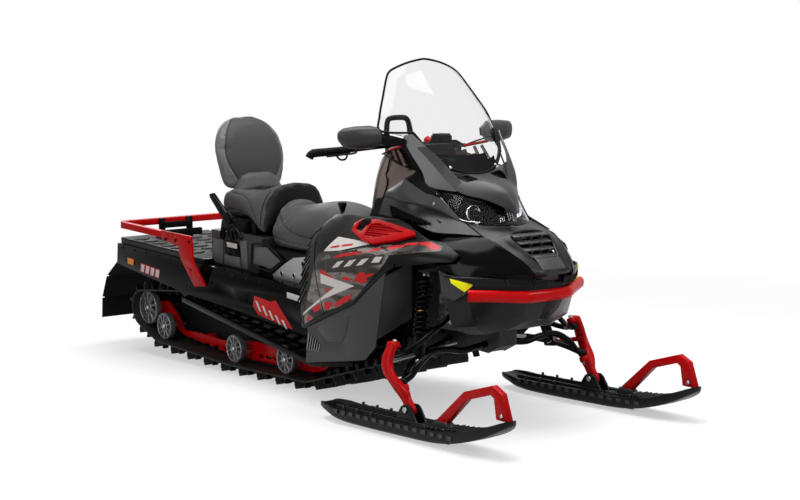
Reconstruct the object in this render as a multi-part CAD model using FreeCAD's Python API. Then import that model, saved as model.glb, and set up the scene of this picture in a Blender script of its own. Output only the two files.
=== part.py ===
import FreeCAD, Part
import math
import os

os.makedirs("parts", exist_ok=True)

# Frame of the model: +X to the nose, +Y to the rider's left, +Z up, floor at z = 0.

# Track and the wheels that carry it
TRACK_WIDTH = 508.0
LUG_HEIGHT = 38.0
LUG_PITCH = 73.0
LUG_THICK = 12.0
BELT = 8.0
DRIVE_X, DRIVE_Z, DRIVE_R = 620.0, 275.0, 80.0
NOSE_CURVE_X, NOSE_CURVE_R = 60.0, 200.0
WHEEL_R = 66.0
WHEEL_WIDTH = 26.0
WHEEL_Y = 206.0
FRONT_WHEEL_X = -124.0
MID_WHEEL_X, MID_WHEEL_Z = -534.0, LUG_HEIGHT + BELT + WHEEL_R
REAR_IDLER_X, REAR_IDLER_Z = -1150.0, 150.0
REAR_WHEEL_X, REAR_WHEEL_Z, REAR_WHEEL_R = -1297.0, 229.0, 84.0
TOP_WHEEL_X, TOP_WHEEL_Z = -600.0, 306.0
AXLE_R = 11.0
ARM_FOOT_R = 13.0
ARM_LINES = (((300.0, 330.0), (-20.0, 118.0)), ((TOP_WHEEL_X, TOP_WHEEL_Z), (-880.0, 122.0)))
RAIL_Y = 140.0
RAIL_THICK = 14.0
RAIL_HEIGHT = 74.0
SLIDER = 12.0
RUN = 0.3

# Tunnel, boards and what stands on them
TUNNEL_HALF = 270.0
SHEET = 3.0
TUNNEL_TOP_Z = 458.0
TUNNEL_SLOPE = -0.054
TUNNEL_REAR_X = REAR_WHEEL_X - 193
TUNNEL_FRONT_X = 780.0
BOARD_REAR_X, BOARD_FRONT_X = -870.0, 620.0
BOARD_Z, BOARD_SLOPE = 215.0, -0.130
BOARD_TOE_X, BOARD_TOE_SLOPE = 300.0, 0.140
BOARD_REAR_HALF, BOARD_FRONT_HALF = 286.0, 402.0
BOARD_LIP = 24.0
DECK = 24.0
RACK_HALF = 322.0
RACK_REAR_X = TUNNEL_REAR_X + 85
RACK_FRONT_X = -820.0
RACK_Z = 612.0
RACK_HEIGHT = 32.0
RACK_WIDTH = 26.0
SEAT_BASE_HALF = 205.0
SADDLE_REAR_X = -290.0
BASE_SLOPE = -0.0357

# Front suspension and steering
SKI_HALF_STANCE = 490.0
SKI_WIDTH = 146.0
SKI_TAIL_X, SKI_TIP_X = 572.0, 1680.0
SKI_BOLT_X, SKI_BOLT_Z = 1105.0, 104.0
KING_LOW = (1055.0, 482.0, 178.0)
KING_HIGH = (992.0, 471.0, 334.0)
STEER_ARM = (922.0, 448.0, 240.0)
TIE_INNER = (950.0, 128.0, 306.0)
FLOOR_Z = 367.0
FRAME_HALF = 200.0
FRAME_FRONT_X = 1120.0
KEEL_HALF = 46.0
BOSS_R = 20.0
BOSS_HALF = 12.0
BALL_R = 18.0
PIN_R = 8.0
TIE_PIN_R = 6.0
PIN_GAP = 0.05
ARM_TUBE_R = 14.0
BAR_HALF = 392.0
BAR_R = 11.0
GRIP_R = 17.0
BAR_CENTRE = (447.0, 0.0, 1074.0)
COLUMN_LEAN = 38.0
COLUMN_R = 14.0
FRAME_TUBE_R = 14.0

# Body panels
PANEL = 4.0
BODY_HALF = 420.0
SHOULDER = 1060.0
WING_TIP_X = 1160.0
BUMPER_DEPTH, BUMPER_HEIGHT = 32.0, 46.0
SHIELD_TOP_Z = 1434.0
SHIELD = 4.0


def vec(x, y, z):
    return FreeCAD.Vector(x, y, z)


def tunnel_top(x):
    return TUNNEL_TOP_Z + TUNNEL_SLOPE * x


def board_top(x):
    """Height of the running board: falls towards the toe, then turns up under the rider's foot."""
    if x < BOARD_TOE_X:
        return BOARD_Z + BOARD_SLOPE * x
    return BOARD_Z + BOARD_SLOPE * BOARD_TOE_X + BOARD_TOE_SLOPE * (x - BOARD_TOE_X)


def board_half(x):
    share = (x - BOARD_REAR_X) / (BOARD_FRONT_X - BOARD_REAR_X)
    return BOARD_REAR_HALF + share * (BOARD_FRONT_HALF - BOARD_REAR_HALF)


def face_of(points):
    return Part.Face(Part.makePolygon(points + [points[0]]))


def prism_y(outline, low, high):
    """A plate whose outline is drawn in side view, from y = low to y = high."""
    return face_of([vec(x, low, z) for x, z in outline]).extrude(vec(0, high - low, 0))


def prism_x(outline, low, high):
    """A bar whose outline is drawn in front view, from x = low to x = high."""
    return face_of([vec(low, y, z) for y, z in outline]).extrude(vec(high - low, 0, 0))


def prism_z(outline, low, high):
    """A block whose outline is drawn in plan, from z = low to z = high."""
    return face_of([vec(x, y, low) for x, y in outline]).extrude(vec(0, 0, high - low))


def box(x0, x1, y0, y1, z0, z1):
    return Part.makeBox(x1 - x0, y1 - y0, z1 - z0, vec(x0, y0, z0))


def rod(start, end, radius):
    """A round bar between two points."""
    a = vec(*start)
    b = vec(*end)
    return Part.makeCylinder(radius, (b - a).Length, a, b - a)


def disc_y(x, z, radius, low, high):
    return Part.makeCylinder(radius, high - low, vec(x, low, z), vec(0, 1, 0))


def patch(a, b, c, d):
    """The face or the two triangles that close four corners, split along the shorter diagonal."""
    corners = [vec(*p) for p in (a, b, c, d)]
    kept = [p for i, p in enumerate(corners) if (p - corners[i - 1]).Length > 0.01]
    if len(kept) < 3:
        return []
    if len(kept) == 3:
        return [Part.Face(Part.makePolygon(kept + [kept[0]]))]
    a, b, c, d = kept
    normal = (c - a).cross(d - b).normalize()
    if abs((b - a).dot(normal)) < 0.00001:
        return [Part.Face(Part.makePolygon([a, b, c, d, a]))]
    if (c - a).Length <= (d - b).Length:
        return [Part.Face(Part.makePolygon(ring)) for ring in ([a, b, c, a], [a, c, d, a])]
    return [Part.Face(Part.makePolygon(ring)) for ring in ([a, b, d, a], [b, c, d, b])]


def fan(ring):
    """Triangles that close a ring from its first corner."""
    faces = []
    for second, third in zip(ring[1:], ring[2:]):
        faces += patch(ring[0], second, third, third)
    return faces


def solid_of(faces):
    solid = Part.makeSolid(Part.makeShell(faces))
    if solid.Volume < 0:
        solid.reverse()
    return solid


def strip(near, far):
    """Facets between two rows of points."""
    faces = []
    for i in range(1, len(near)):
        faces += patch(near[i - 1], near[i], far[i], far[i - 1])
    return faces


def loft(rings):
    """A solid of flat facets through closed rings of points."""
    faces = fan(rings[0]) + fan(rings[-1])
    for near, far in zip(rings, rings[1:]):
        faces += strip(near + near[:1], far + far[:1])
    return solid_of(faces)


def wall(outer, inner):
    """A solid of flat facets between two grids of points, closed along their four edges."""
    faces = []
    for grid in (outer, inner):
        for near, far in zip(grid, grid[1:]):
            faces += strip(near, far)
    for end in (0, -1):
        faces += strip(outer[end], inner[end])
        faces += strip([row[end] for row in outer], [row[end] for row in inner])
    return solid_of(faces)


def sheet_of(rows, back):
    """A wall whose outer face follows rows of points and whose inner face lies back (x, y, z) behind it."""
    dx, dy, dz = back
    return wall(rows, [[(x - dx, y - dy, z - dz) for x, y, z in row] for row in rows])


def across(half_row):
    """A row of points from one side to the other, from its half with the centre first."""
    return [(x, -y, z) for x, y, z in reversed(half_row[1:])] + half_row


def mirrored(shape):
    return shape.mirror(vec(0, 0, 0), vec(0, 1, 0))


def both(shape):
    """The piece and its twin on the other side of the machine."""
    return Part.makeCompound([shape, mirrored(shape)])


def fused(shapes):
    shape = shapes[0].multiFuse(shapes[1:]) if len(shapes) > 1 else shapes[0]
    return shape.removeSplitter()


def bent_path(points, radius):
    """Straight runs through the points, joined by tangent arcs at each bend."""
    spots = [vec(*p) for p in points]
    edges = []
    last = spots[0]
    for before, corner, after in zip(spots, spots[1:], spots[2:]):
        back = (before - corner).normalize()
        ahead = (after - corner).normalize()
        half = back.getAngle(ahead) / 2
        reach = min(radius / math.tan(half), 0.45 * (before - corner).Length, 0.45 * (after - corner).Length)
        middle = (back + ahead).normalize()
        bow = reach * math.tan(half)
        centre = corner + middle * (bow / math.sin(half))
        start = corner + back * reach
        end = corner + ahead * reach
        edges.append(Part.LineSegment(last, start).toShape())
        edges.append(Part.Arc(start, centre - middle * bow, end).toShape())
        last = end
    edges.append(Part.LineSegment(last, spots[-1]).toShape())
    return Part.Wire(edges)


def bent_tube(points, radius, bend):
    """A round tube along bent_path."""
    path = bent_path(points, bend)
    ahead = vec(*points[1]) - vec(*points[0])
    ring = Part.Wire(Part.makeCircle(radius, vec(*points[0]), ahead))
    return path.makePipeShell([ring], True, False)


def inset(outline, depth):
    """The outline moved inwards by depth, corner by corner."""
    count = len(outline)
    area = sum(
        outline[i][0] * outline[(i + 1) % count][1] - outline[(i + 1) % count][0] * outline[i][1]
        for i in range(count)
    )
    side = 1.0 if area > 0 else -1.0
    moved = []
    for i in range(count):
        (ax, ay), (bx, by), (cx, cy) = outline[i - 1], outline[i], outline[(i + 1) % count]
        u = math.hypot(bx - ax, by - ay)
        v = math.hypot(cx - bx, cy - by)
        nx, ny = -(by - ay) / u * side, (bx - ax) / u * side
        mx, my = -(cy - by) / v * side, (cx - bx) / v * side
        spread = 1 + nx * mx + ny * my
        moved.append((bx + depth * (nx + mx) / spread, by + depth * (ny + my) / spread))
    return moved


# Belt geometry: circles that the belt runs round, and its run from tangent to tangent.

def belt_circles():
    flat = LUG_HEIGHT + BELT
    return [
        (DRIVE_X, DRIVE_Z, DRIVE_R),
        (TOP_WHEEL_X, TOP_WHEEL_Z, WHEEL_R),
        (REAR_WHEEL_X, REAR_WHEEL_Z, REAR_WHEEL_R),
        (REAR_IDLER_X, REAR_IDLER_Z, WHEEL_R),
        (MID_WHEEL_X, flat + WHEEL_R, WHEEL_R),
        (NOSE_CURVE_X, flat + NOSE_CURVE_R, NOSE_CURVE_R),
    ]


def belt_runs(grow):
    """Each circle with the angles where the belt, grown outwards, meets and leaves it."""
    circles = [(x, z, r + grow) for x, z, r in belt_circles()]
    leave = []
    for i, (x, z, r) in enumerate(circles):
        nx, nz, nr = circles[(i + 1) % len(circles)]
        length = math.hypot(nx - x, nz - z)
        heading = math.atan2(nz - z, nx - x)
        leave.append(heading - math.acos((r - nr) / length))
    runs = []
    for i, (x, z, r) in enumerate(circles):
        runs.append((x, z, r, leave[i - 1], leave[i]))
    return runs


def belt_wire(grow, y):
    edges = []
    runs = belt_runs(grow)

    def spot(x, z, r, angle):
        return vec(x + r * math.cos(angle), y, z + r * math.sin(angle))

    for i, (x, z, r, meet, leave) in enumerate(runs):
        turn = (leave - meet) % (2 * math.pi)
        start = spot(x, z, r, meet)
        end = spot(x, z, r, meet + turn)
        edges.append(Part.Arc(start, spot(x, z, r, meet + turn / 2), end).toShape())
        nx, nz, nr, nmeet, _ = runs[(i + 1) % len(runs)]
        edges.append(Part.LineSegment(end, spot(nx, nz, nr, nmeet)).toShape())
    return Part.Wire(edges)


def belt_loop(low, high, y0, y1):
    """The solid between two offsets of the belt's line."""
    outer = Part.Face(belt_wire(high, y0)).extrude(vec(0, y1 - y0, 0))
    inner = Part.Face(belt_wire(low, y0)).extrude(vec(0, y1 - y0, 0))
    return outer.cut(inner)


def lug_spots():
    """Evenly spaced places round the belt's outer face, each with its outward direction."""
    wire = belt_wire(BELT, 0)
    count = int(round(wire.Length / LUG_PITCH / 2)) * 2
    centre = vec(MID_WHEEL_X, 0, (MID_WHEEL_Z + TOP_WHEEL_Z) / 2)
    spots = [(edge, edge.Length) for edge in Part.__sortEdges__(wire.Edges)]
    step = wire.Length / count
    places = []
    travelled = 0.0
    index = 0
    for i in range(count):
        goal = i * step
        while travelled + spots[index][1] < goal:
            travelled += spots[index][1]
            index += 1
        edge = spots[index][0]
        share = (goal - travelled) / spots[index][1]
        first, last = edge.ParameterRange
        if edge.Orientation == "Reversed":
            share = 1 - share
        param = first + share * (last - first)
        point = edge.valueAt(param)
        along = edge.tangentAt(param)
        out = vec(-along.z, 0, along.x).normalize()
        if out.dot(point - centre) < 0:
            out = out * -1
        places.append((point, out))
    return places


def lug(point, out, low, high):
    """One rubber lug: a bar across the belt that narrows to its tip."""
    along = vec(out.z, 0, -out.x)
    root = point - out * 2
    tip = point + out * LUG_HEIGHT
    corners = [
        root + along * LUG_THICK,
        tip + along * (LUG_THICK * 0.45),
        tip - along * (LUG_THICK * 0.45),
        root - along * LUG_THICK,
    ]
    side = face_of([vec(c.x, low, c.z) for c in corners])
    return side.extrude(vec(0, high - low, 0))


def track():
    half = TRACK_WIDTH / 2
    belt = belt_loop(0, BELT, -half, half)
    wide = half - 26
    lugs = []
    for i, (point, out) in enumerate(lug_spots()):
        if i % 2:
            spans = [(-half + 6, -wide + 96), (-58, 58), (wide - 96, half - 6)]
        else:
            spans = [(-wide + 70, -36), (36, wide - 70)]
        for low, high in spans:
            lugs.append(lug(point, out, low, high))
    return belt.multiFuse(lugs)


def spoked_wheel(x, z, radius, low, high):
    """A rubber-rimmed wheel with ten spokes and a hub bored for its axle."""
    rim = radius - 13
    hub = 21.0
    wheel = disc_y(x, z, radius - RUN, low, high)
    wheel = wheel.cut(disc_y(x, z, AXLE_R, low, high))
    web = (high - low) * 0.3
    for cut_low, cut_high in ((low, low + web), (high - web, high)):
        ring = disc_y(x, z, rim, cut_low, cut_high).cut(disc_y(x, z, hub, cut_low, cut_high))
        wheel = wheel.cut(ring)
    spokes = 10
    half = math.pi / spokes
    for i in range(spokes):
        angle = 2 * math.pi * i / spokes
        corners = []
        for r, spread in ((hub + 3, 0.42), (rim - 3, 0.72), (rim - 3, -0.72), (hub + 3, -0.42)):
            bearing = angle + half * spread
            corners.append((x + r * math.cos(bearing), z + r * math.sin(bearing)))
        wheel = wheel.cut(prism_y(corners, low, high))
    return wheel


def wheel_stations():
    flat = LUG_HEIGHT + BELT + WHEEL_R
    return [
        (FRONT_WHEEL_X, flat, WHEEL_R),
        (MID_WHEEL_X, flat, WHEEL_R),
        (REAR_IDLER_X, REAR_IDLER_Z, WHEEL_R),
        (REAR_WHEEL_X, REAR_WHEEL_Z, REAR_WHEEL_R),
        (TOP_WHEEL_X, TOP_WHEEL_Z, WHEEL_R),
    ]


def track_wheels():
    wheels = []
    for x, z, radius in wheel_stations():
        y = WHEEL_Y if (x, z) != (TOP_WHEEL_X, TOP_WHEEL_Z) else WHEEL_Y - 96
        wheel = spoked_wheel(x, z, radius, y - WHEEL_WIDTH / 2, y + WHEEL_WIDTH / 2)
        wheels += [wheel, mirrored(wheel)]
    return Part.makeCompound(wheels)


def wheel_axles():
    axles = []
    for x, z, _ in wheel_stations()[:4]:
        reach = WHEEL_Y + WHEEL_WIDTH / 2 + 6
        axle = disc_y(x, z, AXLE_R - 0.05, -reach, reach)
        axles.append(axle)
    return Part.makeCompound(axles)


def drive_axle():
    reach = TUNNEL_HALF - SHEET - RUN
    shaft = disc_y(DRIVE_X, DRIVE_Z, 16, -reach, reach)
    parts = [shaft]
    teeth = 9
    for y in (-120, 120):
        outline = []
        for i in range(teeth):
            turn = 2 * math.pi / teeth
            for r, share in ((DRIVE_R - RUN, -0.16), (DRIVE_R - RUN, 0.16), (DRIVE_R - 22, 0.32), (DRIVE_R - 22, 0.68)):
                angle = turn * (i + share)
                outline.append((DRIVE_X + r * math.cos(angle), DRIVE_Z + r * math.sin(angle)))
        parts.append(prism_y(outline, y - 12, y + 12))
    return fused(parts)


def rail_outline():
    low = LUG_HEIGHT + BELT + SLIDER
    top = low + RAIL_HEIGHT
    return [
        (NOSE_CURVE_X - 60, low + 2),
        (NOSE_CURVE_X + 20, low + 22),
        (NOSE_CURVE_X + 60, low + 52),
        (NOSE_CURVE_X + 30, low + 66),
        (NOSE_CURVE_X - 60, low + 40),
        (FRONT_WHEEL_X - 60, top - 10),
        (FRONT_WHEEL_X - 300, top + 14),
        (MID_WHEEL_X - 30, top + 8),
        (MID_WHEEL_X - 200, top - 12),
        (MID_WHEEL_X - 400, top),
        (MID_WHEEL_X - 560, top - 2),
        (REAR_IDLER_X + 10, REAR_IDLER_Z + 44),
        (REAR_WHEEL_X + 66, REAR_WHEEL_Z + 30),
        (REAR_WHEEL_X - 24, REAR_WHEEL_Z + 24),
        (REAR_WHEEL_X - 28, REAR_WHEEL_Z - 14),
        (REAR_IDLER_X - 50, REAR_IDLER_Z - 6),
        (MID_WHEEL_X - 540, low + 48),
        (MID_WHEEL_X - 420, low + 34),
        (MID_WHEEL_X - 260, low + 18),
        (MID_WHEEL_X - 100, low),
    ]


def slide_rails():
    low = LUG_HEIGHT + BELT + SLIDER
    y0 = RAIL_Y - RAIL_THICK / 2
    y1 = RAIL_Y + RAIL_THICK / 2
    rail = prism_y(rail_outline(), y0, y1)
    slots = [FRONT_WHEEL_X - 90 - 62 * i for i in range(4)] + [MID_WHEEL_X - 90 - 78 * i for i in range(4)]
    for x in slots:
        hole = prism_y([(x, low + 16), (x - 38, low + 16), (x - 44, low + 24), (x - 38, low + 32), (x, low + 32),
                        (x + 6, low + 24)], y0, y1)
        rail = rail.cut(hole)
    for x, z, radius in wheel_stations()[:4]:
        rail = rail.cut(disc_y(x, z, AXLE_R, y0, y1))
    tip = disc_y(NOSE_CURVE_X + 8, low + 40, 9, y0, y1)
    return both(rail.cut(tip))


def rail_sliders():
    low = LUG_HEIGHT + BELT + RUN
    high = LUG_HEIGHT + BELT + SLIDER
    start, end = MID_WHEEL_X, NOSE_CURVE_X - 60
    return both(box(start, end, RAIL_Y - 16, RAIL_Y + 16, low, high))


def suspension_arms():
    """Front and rear swing arms between the tunnel and the rails, tied by cross tubes."""
    reach = TUNNEL_HALF - SHEET - RUN
    inner = RAIL_Y - RAIL_THICK / 2 - RUN
    arms = []
    for (top_x, top_z), (foot_x, foot_z) in ARM_LINES:
        pieces = [disc_y(top_x, top_z, AXLE_R - PIN_GAP, -reach, reach), disc_y(foot_x, foot_z, ARM_FOOT_R, -inner, inner)]
        for y in (-62, 62):
            pieces.append(rod((top_x, y, top_z), (foot_x, y, foot_z), 15))
        arms.append(fused(pieces))
    return Part.makeCompound(arms)


def coil_over(top, foot, coil_r, coil_share):
    """A damper turned about its line: eyes, rod, body and a coil drawn as stacked rings."""
    a = vec(*top)
    length = (vec(*foot) - a).Length
    coils = 8
    start = length * 0.12
    pitch = (length * coil_share - start) / coils
    profile = [(0, 0), (13, 0), (13, 12), (coil_r, start - 6), (coil_r, start)]
    for i in range(coils):
        profile += [(coil_r - 9, start + pitch * (i + 0.1)), (coil_r, start + pitch * (i + 0.35)),
                    (coil_r, start + pitch * (i + 0.65)), (coil_r - 9, start + pitch * (i + 0.9))]
    end = length * coil_share
    profile += [(coil_r, end), (coil_r, end + 7), (17, end + 7), (17, length - 30), (12, length - 24), (12, length),
                (0, length)]
    half = face_of([vec(r, 0, -run) for r, run in profile])
    damper = half.revolve(vec(0, 0, 0), vec(0, 0, 1), 360)
    damper.Placement = FreeCAD.Placement(a, FreeCAD.Rotation(vec(0, 0, -1), vec(*foot) - a))
    return damper


def front_shocks():
    return both(coil_over((926, 262, 592), (988, 356, 256), 34, 0.68))


def track_shocks():
    """One damper along each swing arm, from its pivot shaft to its foot tube."""
    shocks = []
    for (top_x, top_z), (foot_x, foot_z) in ARM_LINES:
        line = vec(foot_x - top_x, 0, foot_z - top_z).normalize()
        top = vec(top_x, 0, top_z) + line * (AXLE_R + RUN)
        foot = vec(foot_x, 0, foot_z) - line * (ARM_FOOT_R + RUN)
        shocks.append(coil_over(tuple(top), tuple(foot), 34, 0.7))
    return Part.makeCompound(shocks)


def tunnel():
    """Folded sheet over the track, open below and at both ends, with shallow pressings in its sides."""
    front_low = board_top(BOARD_FRONT_X)
    outline = [
        (TUNNEL_REAR_X, tunnel_top(TUNNEL_REAR_X)),
        (TUNNEL_FRONT_X, tunnel_top(TUNNEL_FRONT_X)),
        (TUNNEL_FRONT_X, front_low + 30),
        (BOARD_FRONT_X, front_low),
        (BOARD_TOE_X, board_top(BOARD_TOE_X)),
        (BOARD_REAR_X, board_top(BOARD_REAR_X)),
        (BOARD_REAR_X - 60, board_top(BOARD_REAR_X) + 26),
        (TUNNEL_REAR_X - 12, tunnel_top(TUNNEL_REAR_X) - 102),
    ]
    block = prism_y(outline, -TUNNEL_HALF, TUNNEL_HALF)
    rear, front = TUNNEL_REAR_X - 20, TUNNEL_FRONT_X + 20
    hollow = [(rear, tunnel_top(TUNNEL_REAR_X) - SHEET), (front, tunnel_top(TUNNEL_FRONT_X) - SHEET), (front, 0),
              (rear, 0)]
    shell = block.cut(prism_y(hollow, -TUNNEL_HALF + SHEET, TUNNEL_HALF - SHEET))
    for x, z in ((-600, 380), (-350, 350), (-100, 318)):
        pressing = prism_y([(x, z), (x + 170, z - 22), (x + 150, z + 26), (x + 20, z + 48)],
                           TUNNEL_HALF - SHEET / 2, TUNNEL_HALF + 1)
        shell = shell.cut(pressing).cut(mirrored(pressing))
    return shell


def running_boards():
    """Perforated boards with a turned-down outer lip, widening towards the foot."""
    inner = TUNNEL_HALF + RUN
    corners = [BOARD_REAR_X, BOARD_TOE_X, BOARD_FRONT_X]

    def plank(near, far, drop):
        rings = []
        for x in corners:
            rings.append([(x, near(x), board_top(x) - drop), (x, far(x), board_top(x) - drop),
                          (x, far(x), board_top(x)), (x, near(x), board_top(x))])
        return loft(rings)

    plate = plank(lambda x: inner, board_half, SHEET)
    lip = plank(lambda x: board_half(x) - SHEET, board_half, BOARD_LIP)
    board = plate.fuse(lip)
    slots = 14
    pitch = (BOARD_FRONT_X - BOARD_REAR_X - 220) / slots
    for i in range(slots):
        x = BOARD_REAR_X + 170 + pitch * i
        slot = box(x, x + pitch * 0.55, inner + 12, board_half(x) - 12, board_top(x) - 60, board_top(x) + 60)
        board = board.cut(slot)
    return both(board)


def snow_flap():
    """A rubber sheet folded twice, hung on the rear cross plate of the tunnel."""
    line = [(TUNNEL_REAR_X - back, z) for back, z in (
        (RUN, 492), (RUN, 452), (122, 363), (176, 248), (185, 144))]
    half = TUNNEL_HALF - SHEET - RUN
    thick = 5.0
    rear_face = [(x - thick, z + 1) for x, z in reversed(line)]
    flap = prism_y(line + rear_face, -half, half)
    for z in (363, 248):
        notch = box(TUNNEL_REAR_X - 210, TUNNEL_REAR_X - 70, half - 12, half + 1, z - 3, z + 3)
        flap = flap.cut(notch).cut(mirrored(notch))
    return flap


def cargo_deck():
    """Textured pad on the tunnel with a raised rim at the rear."""
    x0, x1 = TUNNEL_REAR_X + 10, RACK_FRONT_X + 90
    outline = [(x0, tunnel_top(x0) + RUN), (x1, tunnel_top(x1) + RUN), (x1, tunnel_top(x1) + DECK),
               (x0 + 60, tunnel_top(x0 + 60) + DECK), (x0 + 10, tunnel_top(x0) + DECK + 8),
               (x0 - 4, tunnel_top(x0) + DECK)]
    return prism_y(outline, -TUNNEL_HALF + 16, TUNNEL_HALF - 16)


def rack_loop():
    """Square-section hoop that runs round the cargo deck, with rounded corners in plan."""
    side = RACK_HALF - RACK_WIDTH / 2
    rear = RACK_REAR_X + RACK_WIDTH / 2
    path = bent_path([
        (RACK_FRONT_X, -side, rack_level(RACK_FRONT_X)),
        (rear, -side, rack_level(rear)),
        (rear, side, rack_level(rear)),
        (RACK_FRONT_X, side, rack_level(RACK_FRONT_X)),
    ], 45)
    wide, tall = RACK_WIDTH / 2, RACK_HEIGHT / 2
    corners = [(-wide, -tall), (wide, -tall), (wide, tall), (-wide, tall), (-wide, -tall)]
    z = rack_level(RACK_FRONT_X)
    ring = Part.makePolygon([vec(RACK_FRONT_X, -side + out, z + up) for out, up in corners])
    return path.makePipeShell([ring], True, False, 2)


def rack_level(x):
    return RACK_Z + TUNNEL_SLOPE * (x - RACK_FRONT_X)


def rack_brackets():
    """Folded plate from the rack's side down to the tunnel's side."""
    y_top = RACK_HALF + RUN
    z_top = rack_level(RACK_FRONT_X) + 22
    upper = prism_y([(-965, z_top + 8), (-700, z_top - 4), (-700, z_top - 40), (-790, z_top - 62),
                     (-965, z_top - 34)], y_top, y_top + 8)
    foot_y = TUNNEL_HALF + RUN
    ring_top = [(-830, y_top, z_top - 20), (-700, y_top, z_top - 20), (-700, y_top + 8, z_top - 20),
                (-830, y_top + 8, z_top - 20)]
    ring_mid = [(-800, y_top, 520), (-692, y_top, 520), (-692, y_top + 8, 520), (-800, y_top + 8, 520)]
    ring_low = [(-768, foot_y, 386), (-672, foot_y, 396), (-672, foot_y + 8, 396), (-768, foot_y + 8, 386)]
    leg = loft([ring_top, ring_mid]).fuse(loft([ring_mid, ring_low]))
    plate = upper.fuse(leg).removeSplitter()
    for x, z, r in ((-905, z_top - 12, 5), (-865, z_top - 14, 5), (-740, 470, 8)):
        plate = plate.cut(disc_y(x, z, r, foot_y - 10, y_top + 30))
    return both(plate)


def rear_stays():
    """Two upright plates and a tail-lamp bar that carry the rack's rear bar on the deck."""
    x = RACK_REAR_X + RACK_WIDTH + 4 * RUN
    foot = tunnel_top(x) + DECK + RUN
    pieces = [box(x, x + 8, y - 18, y + 18, foot, rack_level(x) + RACK_HEIGHT / 2) for y in (-80, 80)]
    pieces.append(box(x + 4, x + 24, -80, 80, rack_level(x) - 34, rack_level(x) - 4))
    return fused(pieces)


def tow_hitch():
    """Cross plate between the tunnel's sides with a tongue and its pin hole."""
    half = TUNNEL_HALF - SHEET - RUN
    x0 = TUNNEL_REAR_X
    low, thick = 500, 8
    plate = box(x0, x0 + 6, -half, half, low - 58, tunnel_top(x0) - SHEET - RUN - 2)
    tongue = prism_z([(x0 + 90, -60), (x0 + 90, 60), (x0, 44), (x0 - 44, 26), (x0 - 58, 12), (x0 - 58, -12),
                      (x0 - 44, -26), (x0, -44)], low, low + thick)
    return fused([plate, tongue]).cut(Part.makeCylinder(PIN_R, thick, vec(x0 - 36, 0, low)))


def engine():
    return box(800, 1080, -180, 180, FLOOR_Z + SHEET + RUN, 600)


def side_panel():
    """Upper side panel: shoulder at 45 degrees, flank leaning out, and a pointed wing that runs forward."""
    half = BODY_HALF
    rows = []
    for x, outer in (
        (200, [(262, 770), (318, 690), (345, 560), (392, 300)]),
        (330, [(262, SHOULDER - 262), (346, SHOULDER - 346), (384, 600), (412, 330)]),
        (500, [(262, SHOULDER - 262), (366, SHOULDER - 366), (406, 610), (half, 380)]),
        (760, [(262, SHOULDER - 262), (366, SHOULDER - 366), (410, 650), (half, 500)]),
        (900, [(300, SHOULDER - 300), (346, SHOULDER - 346), (396, 680), (402, 628)]),
        (1010, [(300, 738), (324, 720), (366, 690), (378, 645)]),
        (1100, [(278, 712), (292, 706), (326, 684), (338, 655)]),
        (WING_TIP_X, [(264, 694), (270, 690), (280, 684), (296, 655)]),
    ):
        rows.append([(x, y, z) for y, z in outer])
    outline = [(262, 330), (280, 316), (333, 326), (649, 452), (905, 628), (1103, 656), (1144, 658), (1158, 684),
               (1111, 706), (1060, 728), (1000, 736), (919, 763), (760, 802), (420, 802), (330, 790), (296, 700),
               (300, 520), (262, 352)]
    return sheet_of(rows, (0, PANEL, PANEL)).common(prism_y(outline, 150, 500))


def knee_pad():
    """Ribbed soft trim on the rider's side of the panel seam."""
    rows = [
        [(180, 256, 764), (180, 336, 556), (180, 386, 296)],
        [(300, 266, 780), (300, 372, 585), (300, BODY_HALF - 13, 319)],
    ]
    outline = [(262 - RUN, 352), (300 - RUN, 520), (296 - RUN, 700), (326, 770), (262, 752), (214, 660), (196, 540),
               (206, 430), (262 - RUN, 345)]
    return sheet_of(rows, (0, 18, 2)).common(prism_y(outline, 150, 500))


def footwell():
    """Lower shield beside the rider's foot, with a recessed facet and a slatted vent."""
    half = BODY_HALF + 2
    outer = [(322, board_top(322) + RUN), (BOARD_FRONT_X, board_top(BOARD_FRONT_X) + RUN), (729, 240), (800, 300),
             (872, 604), (657, 455), (341, 329)]
    block = prism_y(outer, half - 70, half)
    hollow = prism_y([(200, 100), (740, 100), (900, 300), (930, 700), (300, 700)], half - 90, half - PANEL)
    skin = block.cut(hollow)
    recess = prism_y([(420, 330), (560, 395), (620, 400), (600, 330), (570, 300), (480, 296)], half - 2, half + 1)
    skin = skin.cut(recess)
    for i in range(5):
        x = 340 + 16 * i
        skin = skin.cut(prism_y([(x, 240 - 0.5 * i), (x + 9, 238), (x + 22 - i, 300 - 7 * i), (x + 13 - i, 306 - 7 * i)],
                                half - 20, half + 1))
    reach = [(866, 421, 588), (905, 312, 640)]
    foot = [(806, 421, 328), (898, 312, 415)]
    return skin.fuse(sheet_of([reach, foot], (PANEL, 0, 0)))


def intake_screen():
    """Red frame on the panel's shoulder, round an oval hole and a slatted screen, laid at 45 degrees."""
    rim = [(542, 108), (526, 70), (560, 41), (653, 38), (757, 51), (923, 79), (938, 96), (854, 129), (721, 161),
           (638, 147)]
    hole = [(558, 98), (552, 58), (607, 54), (612, 88), (606, 107)]
    window = [(638, 121), (636, 66), (673, 58), (869, 88), (712, 131)]
    frame = prism_z(rim, 0, 12).cut(prism_z(hole, -1, 13)).cut(prism_z(window, -1, 13))
    slats = prism_z(window, 2, 7).common(fused([box(620, 880, 54 + 11 * i, 60 + 11 * i, 2, 7) for i in range(8)]))
    screen = frame.fuse(slats)
    screen.rotate(vec(0, 0, 0), vec(1, 0, 0), -45)
    screen.translate(vec(0, 250, SHOULDER - 250 + 2 * RUN))
    return screen


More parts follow.
